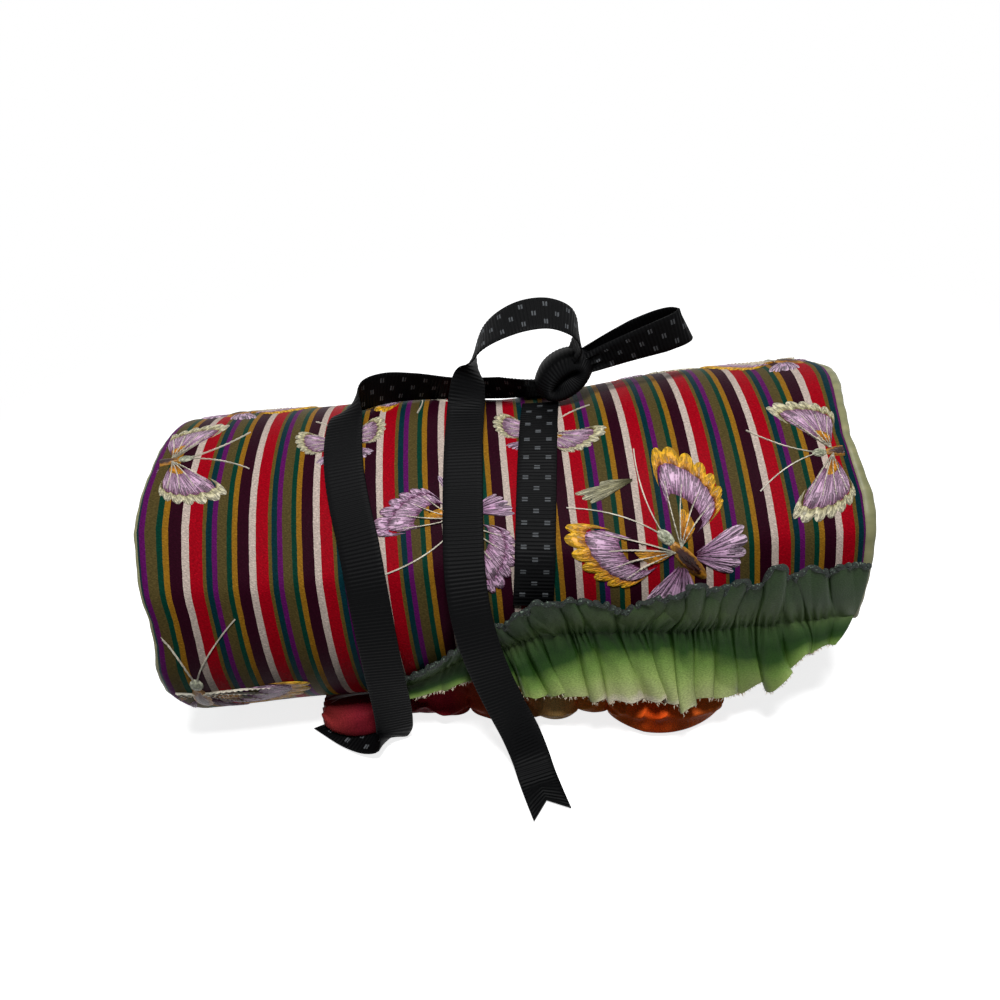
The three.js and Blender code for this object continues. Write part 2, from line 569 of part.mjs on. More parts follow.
// The origin is under the middle of the roll's box, the ribbon's free ends left out.
const box = new THREE.Box3();
for (const mesh of roll.children.filter((child) => !/ribbon_(tail|loop|knot)/.test(child.name))) {
  box.expandByObject(mesh);
}
const middle = box.getCenter(new THREE.Vector3());
roll.position.set(-middle.x, -middle.y, -box.min.z);

// The mat's line on the cover's face, from its free edge to its inner end: the hinges lie on it.
const lineAngles = [EDGE_ANGLE_RIGHT, ...FOLD_ANGLES, INNER_END_ANGLE];
const onMatLine = (angle) => onRoll(HALF_LENGTH, angle, 0).add(roll.position).toArray();
roll.userData.matLine = lineAngles.map(onMatLine);
const pullMiddle = PULL_THICKNESS / 2;
const pullPin = new THREE.Vector3(sliderX + pullMiddle, ZIP_Y, pullBase + pullMiddle);
roll.userData.pullPin = pullPin.add(roll.position).toArray();
roll.userData.sliderTravel = coilLength - 2 * SLIDER_INSET - SLIDER_LENGTH;

export default roll;
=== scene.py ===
"""Jewelry roll: the look of a padded brocade roll with a ruffled flap, tied with a grosgrain ribbon.

Shapes are worked out in millimetres with the roll's axis over y = 0 and the table at z = 0.
Meshes are in metres in the row frame, where that axis lies at y = AXIS_Y.
"""

import bpy
import numpy as np
from mathutils import Matrix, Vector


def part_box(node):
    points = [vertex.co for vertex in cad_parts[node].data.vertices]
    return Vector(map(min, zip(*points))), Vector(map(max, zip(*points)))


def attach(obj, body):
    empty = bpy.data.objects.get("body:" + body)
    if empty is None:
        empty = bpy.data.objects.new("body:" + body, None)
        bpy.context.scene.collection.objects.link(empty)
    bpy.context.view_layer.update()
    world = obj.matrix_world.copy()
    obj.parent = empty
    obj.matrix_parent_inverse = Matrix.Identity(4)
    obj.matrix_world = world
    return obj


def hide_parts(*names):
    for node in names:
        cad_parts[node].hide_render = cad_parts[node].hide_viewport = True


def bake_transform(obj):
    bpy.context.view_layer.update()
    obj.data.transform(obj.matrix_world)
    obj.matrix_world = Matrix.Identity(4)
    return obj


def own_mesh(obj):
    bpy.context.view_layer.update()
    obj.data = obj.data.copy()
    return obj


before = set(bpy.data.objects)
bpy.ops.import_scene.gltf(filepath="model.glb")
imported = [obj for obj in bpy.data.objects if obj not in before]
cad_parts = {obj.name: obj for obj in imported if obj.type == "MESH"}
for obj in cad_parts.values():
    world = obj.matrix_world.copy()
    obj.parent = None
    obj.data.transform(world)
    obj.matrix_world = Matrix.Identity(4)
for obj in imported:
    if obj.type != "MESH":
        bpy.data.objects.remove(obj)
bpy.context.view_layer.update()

# Camera: held close, above the roll's front, with its horizon a little tilted.
# The focal length is in pixels of a picture of PHOTO_SIDE pixels.
AXIS_Y = sum(corner.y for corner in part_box("bolster_skin")) / 2
PHOTO_FOCAL, PHOTO_SIDE, SENSOR, CLIP_START = 900, 1000, 36, 0.01
LOOKED_AT, EYE_ASIDE, EYE_ABOVE, EYE_AWAY = np.array([0, -2.1, 44.2]), -1.67, 7.2, 327.6


def placed(*columns):
    """Matrix of an object from its three axes and its place in metres."""
    return Matrix(np.vstack([np.column_stack(columns), [0, 0, 0, 1]]).tolist())


elevation, yaw, tilt = np.radians([40.25, 1.35, -6.46])
back = np.array([np.sin(yaw) * np.cos(elevation), -np.cos(yaw) * np.cos(elevation), np.sin(elevation)])
level = np.array([np.cos(yaw), np.sin(yaw), 0])
upright = np.cross(back, level)
right = np.cos(tilt) * level + np.sin(tilt) * upright
up = np.cos(tilt) * upright - np.sin(tilt) * level
eye = LOOKED_AT + EYE_ASIDE * right + EYE_ABOVE * up + EYE_AWAY * back
camera = bpy.data.objects.new("camera", bpy.data.cameras.new("camera"))
camera.data.sensor_width = SENSOR
camera.data.lens = SENSOR * PHOTO_FOCAL / PHOTO_SIDE
camera.data.clip_start = CLIP_START
camera.matrix_world = placed(right, up, back, eye / 1000 + [0, AXIS_Y, 0])
bpy.context.collection.objects.link(camera)
bpy.context.scene.camera = camera
bpy.context.scene.view_settings.view_transform = "Standard"

# Mat, outer half: striped brocade over batting, wound one and a half turns and stitched at its rims.
# Eight lengths of one cloth, each from the middle of a panel to the middle of the next, so that each
# spans one fold of the mat. Angles are degrees round the roll, from its front up over its top.
PANELS = ("flap_end", "flap_front", "top", "upper_back", "lower_back", "bottom",
          "inner_lower_front", "inner_upper_front", "inner_top")
FOLDS = np.array([30, 80, 130, 186, 242, 298, 356, 416])
LAST = len(FOLDS) - 1
INNER_END = 478
HALF_DEPTH, HALF_HEIGHT, FLATTENED = 58, 50, 2.6
MAT, TURN_GAP = 6.6, 2.6
PITCH = MAT + TURN_GAP
AXIS_Z = HALF_HEIGHT - PITCH * 270 / 360 - FLATTENED
WAIST_X, WAIST_DEPTH, WAIST_SPREAD = 12, 4.2, 30
CREASES_ASIDE, CREASES_SPREAD, CREASES_HIGH = 13, 8, 0.35
RIDGE, RIDGE_ANGLE, RIDGE_SPREAD, RIDGE_SOFT = 3.0, 33, 9, 3
PRESSED_SHARE, PRESSED_LIFT = 0.24, 0.3
EDGE_LOW, EDGE_RISE, EDGE_RISES_FROM, EDGE_RISES_TO = -46, 40, -55, 10
COVER_HALF, COVER_THICK, RIM_ROUND = 111.2, 3.3, 2.4
LEFT_SPREAD = ([-40, -28, -12, 2, 14, 24, 38, 56, 68, 80, 104, 140],
               [1, 3, 4.8, 3.8, 1.6, 1.2, 2.9, 4.7, 4.2, 2.9, 2, 0])
RIGHT_SPREAD = ([0, 28, 44, 55, 67, 80, 98, 106, 140], [-2.6, -0.9, 0.1, -0.7, -1, 0.8, 4.2, 5, 0])
SPREAD_POWER = 8


def bell(value, middle, spread):
    """1 at the middle, falling off on both sides as a Gaussian curve of that spread."""
    return np.exp(-((value - middle) / spread) ** 2)


def winding(x, angle, depth):
    """Points of the wound oval: its half axes shrink with the angle, the depth and the ribbon's waist.

    The mat's first fold stands out as a soft ridge along the front. The ends of the cloth spread
    sideways a little where nothing holds them in, and the table presses the underside flat.
    """
    inward = PITCH * angle / 360 + depth + WAIST_DEPTH * bell(x, WAIST_X, WAIST_SPREAD)
    inward = inward - RIDGE * np.exp(-np.hypot(angle - RIDGE_ANGLE, RIDGE_SOFT) / RIDGE_SPREAD)
    turn = np.radians(angle)
    y = -(HALF_DEPTH - inward) * np.cos(turn)
    pressed = np.where(depth < 0, PRESSED_SHARE * depth, depth) + PRESSED_LIFT * np.exp(-np.maximum(depth, 0))
    z = np.maximum(AXIS_Z + (HALF_HEIGHT - inward) * np.sin(turn), pressed)
    sideways = np.where(x < 0, -np.interp(angle, *LEFT_SPREAD), np.interp(angle, *RIGHT_SPREAD))
    spread = x + (np.abs(x) / COVER_HALF) ** SPREAD_POWER * sideways
    return np.stack(np.broadcast_arrays(spread, y, z), -1)


def smoothstep(value, low, high):
    """0 below low, 1 above high, and a smooth cubic between."""
    share = np.clip((value - low) / (high - low), 0, 1)
    return share * share * (3 - 2 * share)


def edge_angle(x):
    """Angle of the flap's free edge: an S from under the roll on the left to its front on the right."""
    return EDGE_LOW + EDGE_RISE * smoothstep(x, EDGE_RISES_FROM, EDGE_RISES_TO)


fine_angles = np.linspace(-60, 490, 2201)
fine_steps = np.diff(winding(np.full(fine_angles.shape, COVER_HALF), fine_angles, 0.0), axis=0)
fine_lengths = np.concatenate([[0], np.cumsum(np.linalg.norm(fine_steps, axis=1))])
fine_lengths -= np.interp(0, fine_angles, fine_lengths)


def cloth_at(angle):
    """Length of cloth from the roll's front, angle 0, to an angle."""
    return np.interp(angle, fine_angles, fine_lengths)


def angle_at(length):
    """Angle that a length of cloth from the roll's front reaches."""
    return np.interp(length, fine_lengths, fine_angles)


def swell(x, length):
    """Unevenness of the padded cloth: crossed sine waves of a few centimetres, and creases at the waist.

    Each factor is a wave's height in mm, and each divisor is its length in mm over two pi.
    """
    soft = 0.3 * np.sin(x / 15 + 1.2 * np.sin(length / 37)) * np.sin(length / 21 + 0.6)
    soft = soft + 0.16 * np.sin(x / 8.3 - length / 17) + 0.08 * np.sin(length / 6.1 + x / 29)
    beside = bell(np.abs(x - WAIST_X), CREASES_ASIDE, CREASES_SPREAD)
    return soft + CREASES_HIGH * beside * np.sin(length / 5.2 + 0.12 * x)


def grid_faces(rows, columns, wrap=False):
    """Quads between neighbouring points of a grid stored row by row; wrap joins last column and first."""
    i = np.arange(rows - 1)[:, None]
    j = np.arange(columns if wrap else columns - 1)[None, :]
    k = (j + 1) % columns
    quads = [i * columns + j, i * columns + k, (i + 1) * columns + k, (i + 1) * columns + j]
    return np.stack(np.broadcast_arrays(*quads), -1).reshape(-1, 4)


def outward(points, quads):
    """Quads of a closed surface, all turned round if their signed volume is negative."""
    a, b, c, d = np.moveaxis(points.reshape(-1, 3)[quads], 1, 0)
    volume = np.einsum("ij,ij->", a, np.cross(b, c)) + np.einsum("ij,ij->", a, np.cross(c, d))
    return quads if volume > 0 else quads[:, ::-1]


def shell(outer, inner):
    """Closed sheet between two grids: rings across the outer face and back along the inner, ends closed.

    Gives its points, its quads turned outward, and each quad's side: 0 outer, 1 inner, 2 rim.
    """
    rows, columns = outer.shape[:2]
    ring = 2 * columns
    points = np.concatenate([outer, inner[:, ::-1]], 1)
    side = np.full(ring, 2)
    side[:columns - 1] = 0
    side[columns:-1] = 1
    j = np.arange(columns - 1)
    first = np.stack([j, ring - 1 - j, ring - 2 - j, j + 1], -1)
    last = (rows - 1) * ring + first[:, ::-1]
    quads = np.concatenate([grid_faces(rows, ring, True), first, last])
    sides = np.concatenate([np.tile(side, rows - 1), np.full(2 * (columns - 1), 2)])
    return points, outward(points, quads), sides


def add_piece(name, points, quads, uv, materials, slots=None, sharp=50):
    """Smooth mesh object from points in mm, quads, one UV pair in mm per point and a slot per quad."""
    mesh = bpy.data.meshes.new(name)
    places = points.reshape(-1, 3) / 1000 + [0, AXIS_Y, 0]
    mesh.from_pydata(places.tolist(), [], quads.tolist())
    corners = np.empty(len(mesh.loops), np.int32)
    mesh.loops.foreach_get("vertex_index", corners)
    layer = mesh.uv_layers.new(name="UVMap")
    layer.data.foreach_set("uv", (uv.reshape(-1, 2)[corners] / 1000).astype(np.float32).ravel())
    for material in materials:
        mesh.materials.append(material)
    if slots is not None:
        mesh.polygons.foreach_set("material_index", np.asarray(slots, np.int32))
    mesh.polygons.foreach_set("use_smooth", np.ones(len(mesh.polygons), bool))
    mesh.set_sharp_from_angle(angle=np.radians(sharp))
    piece = bpy.data.objects.new(name, mesh)
    bpy.context.collection.objects.link(piece)
    return piece


def add_sheet(name, outer, inner, flat, materials, sharp=50):
    """Closed sheet between two grids, with flat places as its UV; a second material is its inner face's."""
    points, quads, sides = shell(outer, inner)
    uv = np.concatenate([flat, flat[:, ::-1]], 1)
    return add_piece(name, points, quads, uv, materials, sides == 1 if len(materials) > 1 else None, sharp)


def linear(colour):
    """Linear RGBA of an sRGB hex colour."""
    share = np.array([int(colour[k:k + 2], 16) for k in (1, 3, 5)]) / 255
    return (*np.where(share < 0.04045, share / 12.92, ((share + 0.055) / 1.055) ** 2.4), 1)


def plug(tree, value, socket):
    """Links a socket, or a node's first output, to an input; any other value is set on the input."""
    if isinstance(value, bpy.types.Node):
        value = value.outputs[0]
    if isinstance(value, bpy.types.NodeSocket):
        tree.links.new(value, socket)
    else:
        socket.default_value = value


def node(tree, kind, inputs=(), stops=(), **settings):
    """Adds a node with its settings and inputs; stops are a colour ramp's places and hex colours."""
    made = tree.nodes.new("ShaderNode" + kind)
    for name, value in settings.items():
        setattr(made, name, value)
    for key, value in dict(inputs).items():
        plug(tree, value, made.inputs[key])
    for _ in stops[2:]:
        made.color_ramp.elements.new(1)
    for k, (place, colour) in enumerate(stops):
        made.color_ramp.elements[k].position = place
        made.color_ramp.elements[k].color = linear(colour)
    return made


def new_material(name, **surface):
    """Material with a principled surface; surface gives constants by socket name, with _ for a space."""
    material = bpy.data.materials.new(name)
    material.use_nodes = True
    shader = material.node_tree.nodes["Principled BSDF"]
    for key, value in surface.items():
        shader.inputs[key.replace("_", " ")].default_value = value
    return material, material.node_tree, shader


def threads(tree, cloth, per_metre, turn=0.0, kind="TexNoise", **inputs):
    """Pattern of cells, so many per metre across and along a cloth that is first turned by some degrees."""
    turned = node(tree, "Mapping", {"Vector": cloth, "Rotation": (0, 0, np.radians(turn))})
    drawn_in = node(tree, "Mapping", {"Vector": turned, "Scale": (*per_metre, 1)})
    return node(tree, kind, {"Vector": drawn_in, "Scale": 1, **inputs})


def dress(tree, shader, colour, height=None, strength=0.0, distance=0.0):
    """Gives a surface its colour and, through a bump of some strength and metres, its relief."""
    plug(tree, colour, shader.inputs["Base Color"])
    if height is not None:
        relief = node(tree, "Bump", {"Strength": strength, "Distance": distance, "Height": height})
        plug(tree, relief, shader.inputs["Normal"])


# Brocade, woven: stripes with slightly wandering edges. Its floats scatter the light, so it has no gloss but
# a slanted grain and pale specks. The grain of 0.3 by 0.8 mm is coarser than real threads, so that it shows.
STRIPE_PERIOD, STRIPE_START, STRIPE_WANDER = 0.020, 0.0989, 0.00012
STRIPES = (("#D2C0B4", 10.5), ("#A8071A", 19), ("#665424", 5.5), ("#083038", 8.5), ("#621660", 8),
           ("#584C2A", 14.5), ("#083C2E", 7.5), ("#9C6E1E", 8.5), ("#2C0818", 18))
brocade, tree, shader = new_material("brocade", Roughness=0.45, Specular_IOR_Level=0.02)
cloth = node(tree, "UVMap", uv_map="UVMap")
across = node(tree, "SeparateXYZ", {0: cloth})
wander = threads(tree, cloth, (900, 160), Detail=1)
wander = node(tree, "MapRange", {0: wander, 3: -STRIPE_WANDER, 4: STRIPE_WANDER})
place = node(tree, "Math", {0: across, 1: wander}, operation="ADD")
place = node(tree, "Math", {0: place, 1: STRIPE_START}, operation="ADD")
counted = node(tree, "Math", {0: place, 1: STRIPE_PERIOD}, operation="DIVIDE")
phase = node(tree, "Math", {0: counted}, operation="FRACT")
starts = np.cumsum([0] + [share for _, share in STRIPES[:-1]]) / 100
stripe_stops = [(start, colour) for start, (colour, _) in zip(starts, STRIPES)]
stripes = node(tree, "ValToRGB", {0: phase}, stripe_stops)
stripes.color_ramp.interpolation = "CONSTANT"
grain = threads(tree, cloth, (1300, 3000), 33, Detail=2)
grain = node(tree, "MapRange", {0: grain, 1: 0.3, 2: 0.72, 3: 0.64, 4: 1.22})
speck = threads(tree, cloth, (1000, 1500), 20, "TexVoronoi")
speck = node(tree, "MapRange", {0: speck, 1: 0.1, 2: 0.45, 3: 1.22, 4: 0.92})
shade = node(tree, "Math", {0: grain, 1: speck}, operation="MULTIPLY")
dress(tree, shader, node(tree, "VectorMath", {0: stripes, 3: shade}, operation="SCALE"), shade, 0.6, 0.00015)

# Batting, carded polyester: matt off-white fluff on the cover's inner face.
batting, tree, shader = new_material("batting", Roughness=0.95)
spot = node(tree, "TexCoord").outputs["Object"]
fibres = node(tree, "TexNoise", {"Vector": spot, "Scale": 400, "Detail": 3})
dress(tree, shader, node(tree, "ValToRGB", {0: fibres}, [(0.3, "#CFC9BA"), (0.7, "#EDE9DF")]))

COVER_COLUMNS, COVER_ROWS, RIM_ROWS = 112, 62, [0.004, 0.01, 0.99, 0.996]
BENDS_FROM, BENDS_TO, BEND_INSET = 12, 442, 4
STANDS_FOR = [PANELS[n:n + 1] for n in range(LAST)] + [PANELS[LAST:]]
middles = (FOLDS[:-1] + FOLDS[1:]) / 2
rim_turn = np.radians([0, 25, 45, 62, 78, 90])
rim_x = COVER_HALF - RIM_ROUND + RIM_ROUND * np.sin(rim_turn)
flat_x = np.linspace(-rim_x[0], rim_x[0], COVER_COLUMNS)
cover_x = np.concatenate([-rim_x[:0:-1], flat_x, rim_x[1:]])
rim_depth = RIM_ROUND * (1 - np.cos(rim_turn[1:]))
cover_rim = np.concatenate([rim_depth[::-1], np.zeros(COVER_COLUMNS), rim_depth])
segments = []
for n in range(len(FOLDS)):
    begin = edge_angle(cover_x) if n == 0 else np.full(len(cover_x), middles[n - 1])
    finish = middles[n] if n < LAST else INNER_END
    shares = np.linspace(0, 1, COVER_ROWS)
    if n in (0, LAST):
        shares = np.unique(np.concatenate([shares, RIM_ROWS]))
    angle = begin[:, None] + (finish - begin[:, None]) * shares
    x = np.broadcast_to(cover_x[:, None], angle.shape)
    length = cloth_at(angle)
    free = np.full(angle.shape, RIM_ROUND)
    if n == 0:
        free = np.minimum(free, length - cloth_at(begin)[:, None])
    if n == LAST:
        free = np.minimum(free, cloth_at(INNER_END) - length)
    rounding = RIM_ROUND - np.sqrt(RIM_ROUND ** 2 - (RIM_ROUND - free) ** 2)
    depth = np.maximum(cover_rim[:, None], rounding)
    outer = winding(x, angle, depth - swell(x, length) * (1 - depth / RIM_ROUND))
    inner = winding(x, angle, np.full(angle.shape, COVER_THICK))
    flat = np.stack([x, length], -1)
    piece = add_sheet("brocade_" + PANELS[n], outer, inner, flat, [brocade, batting])
    low = BENDS_FROM if n == 0 else middles[n - 1] + BEND_INSET
    high = BENDS_TO if n == LAST else middles[n] - BEND_INSET
    ends = winding(np.zeros(2), np.array([low, high]), MAT / 2) / 1000 + [0, AXIS_Y, 0]
    hinge = (PANELS[n], PANELS[n + 1], ends[0], ends[1])
    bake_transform(piece)
    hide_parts(*[layer + panel for panel in STANDS_FOR[n] for layer in ("cover_", "padding_")])
    segments.append((cloth_at(begin.min()), cloth_at(finish), hinge))

# Mat, inner half: pale green satin on batting, turned out over the end rims as a narrow rolled edge.
# The rolled edge is what shows as a light line at both ends of the roll.
LINING_DEPTH, LINING_INSET, LINING_SUNK, LINING_SWELL, SWELL_SHIFT = 3.45, 0.8, 0.5, 0.45, 40
RIM_DRAWN, RIM_POWER = 1.2, 12
LINING_COLUMNS, LINING_ROWS = 90, 56
EDGE_ROUND, EDGE_X, EDGE_DEPTH, EDGE_PUCKER = 1.55, 111.7, 2.75, 0.1
EDGE_WIDER, EDGE_WIDEST, EDGE_SPREAD, LEFT_NARROWER = 0.9, 30, 42, 0.8

# Satin, polyester: smooth and a little glossy, mottled along its floats.
# Its threads of 0.2 by 0.4 mm are coarser than real ones, so that they show.
satin, tree, shader = new_material("lining_satin", Roughness=0.42, Specular_IOR_Level=0.3)
cloth = node(tree, "UVMap", uv_map="UVMap")
mottle = threads(tree, cloth, (90, 300), Detail=3)
tint = node(tree, "ValToRGB", {0: mottle}, [(0.3, "#7E7F58"), (0.55, "#8F8E66"), (0.75, "#A39D72")])
dress(tree, shader, tint, threads(tree, cloth, (2500, 6000), Detail=1), 0.3, 0.0001)

lining_x = np.linspace(-EDGE_X, EDGE_X, LINING_COLUMNS)
round_turn = np.radians(np.arange(0, 360, 40))
for n in range(len(FOLDS)):
    begin = edge_angle(lining_x) + LINING_INSET if n == 0 else np.full(LINING_COLUMNS, middles[n - 1])
    finish = middles[n] if n < LAST else INNER_END - LINING_INSET
    angle = begin[:, None] + (finish - begin[:, None]) * np.linspace(0, 1, LINING_ROWS)
    x = np.broadcast_to(lining_x[:, None], angle.shape)
    length = cloth_at(angle)
    outer = winding(x, angle, np.full(angle.shape, LINING_DEPTH))
    drawn = RIM_DRAWN * (np.abs(x) / EDGE_X) ** RIM_POWER
    inner = winding(x, angle, MAT - LINING_SUNK + LINING_SWELL * swell(x + SWELL_SHIFT, length) - drawn)
    points, quads, _ = shell(outer, inner)
    flat = np.stack([x, length], -1)
    parts, faces = [points.reshape(-1, 3)], [quads]
    uvs = [np.concatenate([flat, flat[:, ::-1]], 1).reshape(-1, 2)]
    for end, way in ((0, -1), (-1, 1)):
        run = angle[end][:, None]
        narrower = LEFT_NARROWER * (way < 0)
        pucker = EDGE_PUCKER * np.sin(cloth_at(run) / 1.7) * np.sin(cloth_at(run) / 4.3)
        rolled = (EDGE_ROUND - narrower / 2) * (1 + pucker)
        wider = EDGE_WIDER * (way > 0) * bell(run, EDGE_WIDEST, EDGE_SPREAD)
        edge_x = way * (EDGE_X - narrower + wider + (rolled + wider) * np.cos(round_turn))
        edge = winding(edge_x, run, EDGE_DEPTH + rolled * np.sin(round_turn))
        faces.append(sum(map(len, parts)) + outward(edge, grid_faces(*edge.shape[:2], True)))
        parts.append(edge.reshape(-1, 3))
        uvs.append(np.stack(np.broadcast_arrays(edge_x, cloth_at(run)), -1).reshape(-1, 2))
    piece = add_piece("satin_" + PANELS[n], np.concatenate(parts), np.concatenate(faces),
                      np.concatenate(uvs), [satin])
    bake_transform(piece)
    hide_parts(*["lining_" + panel for panel in STANDS_FOR[n]])

# Butterflies: floats of thick glossy thread on the brocade, side by side as in satin stitch.
# Each is laid out flat on the cloth in mm, as domed patches a few tenths proud, and wound with the mat.
FLOAT_PROUD, FLOAT_SUNK, BODY_PROUD = 0.6, 0.2, 1.1
FORE_WING, HIND_WING, VEINS = 28, 15, (6, 20, 36, 52)
FAN_ROWS, FAN_COLUMNS, LINE_STEPS, BODY_ROWS, BODY_COLUMNS = 10, 96, 40, 9, 40


def float_thread(name, stitches, dark, stops):
    """Glossy floats coloured by share along the patch, in so many stitches, with painted shade between them
    and a painted highlight on each.
    """
    material, tree, shader = new_material(name, Roughness=0.42, Specular_IOR_Level=0.35)
    place = node(tree, "SeparateXYZ", {0: node(tree, "UVMap", uv_map="UVMap")}).outputs
    spot = node(tree, "TexCoord").outputs["Object"]
    ragged = node(tree, "TexNoise", {"Vector": spot, "Scale": 1100, "Detail": 1})
    ragged = node(tree, "MapRange", {0: ragged, 3: -0.0002, 4: 0.0002})
    share = node(tree, "Math", {0: place[0], 1: ragged}, operation="ADD")
    share = node(tree, "Math", {0: share, 1: 1000}, operation="MULTIPLY")
    colour = node(tree, "ValToRGB", {0: share}, stops)
    fan = node(tree, "CombineXYZ", {0: place[1], 1: share})
    ridge = threads(tree, fan, (stitches * 1000, 3), Detail=1)
    # Painted light: in the gaps between stitches the colour drops to the given share as painted shade, and on
    # their crests it is lifted by 15 % as a painted highlight.
    ridge = node(tree, "MapRange", {0: ridge, 1: 0.4, 2: 0.6, 3: dark, 4: 1.15})
    thread = node(tree, "VectorMath", {0: colour, 3: ridge}, operation="SCALE")
    dress(tree, shader, thread, ridge, 0.8, 0.0004)
    return material


# Each thread's stitches across a patch, the share of its colour left in the painted shade between stitches,
# and its colour stops.
THREADS = {
    "float_gold": (44, 0.45, [(0, "#7A3A08"), (0.18, "#C8800F"), (0.5, "#EAA814"), (1, "#F0BC2A")]),
    "float_cream": (44, 0.4, [(0, "#8A7A48"), (0.25, "#D5CCA0"), (1, "#E8E0C4")]),
    "float_lilac": (56, 0.22, [(0, "#8E4E7C"), (0.3, "#D6A8CC"), (0.7, "#E4BEDA"), (1, "#86446E")]),
    "float_hind": (26, 0.16, [(0, "#6A2A50"), (0.3, "#C698BE"), (0.85, "#DCB8D4"), (1, "#E6CCE0")]),
    "float_amber": (20, 0.35, [(0, "#9A4A08"), (0.5, "#D88A12"), (1, "#E8A81C")]),
    "float_body": (6, 0.5, [(0, "#200806"), (0.55, "#34100A"), (0.75, "#A8701C"), (1, "#C08A3A")]),
    "float_head": (8, 0.5, [(0, "#8A9070"), (1, "#D8DAC0")]),
    "float_leaf": (30, 0.3, [(0, "#6E6A46"), (0.4, "#B4AE86"), (1, "#DDD8B8")]),
    "float_line": (4, 0.55, [(0, "#D8D2BC"), (1, "#E6DCCB")]),
}
thread_names = list(THREADS)
thread_materials = [float_thread(name, *look) for name, look in THREADS.items()]


def fan_patch(root, lead, trail, length, taper=0.5, near=0.0, far=1.0, lobes=0):
    """Part of a fan of rays from a root between two headings, from one share of the rays to another.

    The rays shorten by the taper from the leading to the trailing one; the far edge swells into lobes.
    """
    share, turn = np.meshgrid(np.linspace(0, 1, FAN_ROWS), np.linspace(0, 1, FAN_COLUMNS), indexing="ij")
    lobe = np.abs(np.sin(np.pi * lobes * turn)) ** 0.6 if lobes else np.ones(turn.shape)
    corner = 1 - 0.3 * (1 - np.minimum(1, 7 * turn)) ** 2 - 0.3 * (1 - np.minimum(1, 7 * (1 - turn))) ** 2
    reach = length * (1 - taper * turn ** 1.1) * corner * (1 - 0.1 * (1 - lobe) * far ** 6)
    away = reach * (near + (far - near) * share)
    heading = np.radians(lead + (trail - lead) * turn)
    inside = np.minimum(1, 30 * np.minimum(turn, 1 - turn)) * np.sin(np.pi * share) ** 0.4
    proud = FLOAT_PROUD * inside * (0.35 + 0.65 * lobe) - FLOAT_SUNK * (inside < 0.05)
    point = np.stack([root[0] + away * np.cos(heading), root[1] + away * np.sin(heading), proud], -1)
    return point, np.stack([share, turn], -1)


def thread_line(stops, width, proud):
    """Thread laid along a quadratic curve: a strip of four points across, its two sides sunk in the cloth."""
    steps = np.linspace(0, 1, LINE_STEPS)[:, None]
    start, bend, end = (np.array(stop, float) for stop in stops)
    path = (1 - steps) ** 2 * start + 2 * steps * (1 - steps) * bend + steps ** 2 * end
    along = np.gradient(path, axis=0)
    normal = np.stack([-along[:, 1], along[:, 0]], -1) / np.linalg.norm(along, axis=1, keepdims=True)
    offsets = np.array([-0.5, -0.25, 0.25, 0.5]) * width
    points = path[:, None] + normal[:, None] * offsets[:, None]
    beads = 1 + 0.3 * np.sin(steps * 75)
    lift = proud * beads * np.array([0, 1, 1, 0]) - FLOAT_SUNK * np.array([1, 0, 0, 1])
    uv = np.stack(np.broadcast_arrays(steps, offsets / width / 30), -1)
    return np.concatenate([points, lift[..., None]], -1), uv


def butterfly(x, length, heading, size=1.0, rim="float_gold", spread=64):
    """Patches of one butterfly: two fore and two hind wings, a spindle body, a head and two antennae.

    A fore wing is a scalloped rim and a band of thread with the ground between its veins, or all thread
    if the rim is cream, and a patch of amber at its root.
    """
    centre = np.array([x, length])
    ahead = np.array([np.cos(np.radians(heading)), np.sin(np.radians(heading))])
    leftward = np.array([-ahead[1], ahead[0]])
    wing = FORE_WING * size
    band = 0.2 if rim == "float_cream" else 0.48
    for way in (1, -1):
        aside = way * leftward
        hinge = centre + size * (2 * ahead + 0.8 * aside)
        lead, trail = heading + way * (spread - 22), heading + way * (spread + 44)
        yield "float_hind", fan_patch(centre - size * (ahead - aside), heading + way * (spread + 46),
                                      heading + way * 164, HIND_WING * size, 0.3, 0.08, 1, 5)
        yield "float_lilac", fan_patch(hinge, lead + way * 2, trail - way * 2, wing, 0.5, band, 0.82)
        yield rim, fan_patch(hinge, lead, trail, wing, 0.5, 0.79, 1, 7)
        yield "float_amber", fan_patch(hinge, lead + way * 16, trail - way * 8, wing, 0.5, 0.05, 0.36)
        for turn in VEINS:
            ray = np.radians(lead + way * turn)
            out = wing * (0.8 - 0.004 * turn) * np.array([np.cos(ray), np.sin(ray)])
            vein = (hinge, hinge + 0.4 * out + size * ahead, hinge + 0.75 * out)
            yield "float_line", thread_line(vein, 0.5, 0.75)
        tip = centre + size * (27 * ahead + 11 * aside)
        bend = centre + size * (17 * ahead + 2 * aside)
        yield "float_line", thread_line((centre + 6 * size * ahead, bend, tip), 0.6, 0.35)
    for kind, behind, long, wide in (("float_body", 8, 13, 1.9), ("float_head", -3.5, 5, 1.5)):
        share, turn = np.meshgrid(np.linspace(0, 1, BODY_ROWS), np.linspace(0, 2 * np.pi, BODY_COLUMNS),
                                  indexing="ij")
        along = size * (long / 2 * (1 + share * np.cos(turn)) - behind)[..., None] * ahead
        across = size * wide * (share * np.sin(turn))[..., None] * leftward
        proud = BODY_PROUD * np.sqrt(1 - share ** 2) - FLOAT_SUNK * share
        drawn = np.concatenate([centre + along + across, proud[..., None]], -1)
        yield kind, (drawn, np.stack([share, turn / 6], -1))


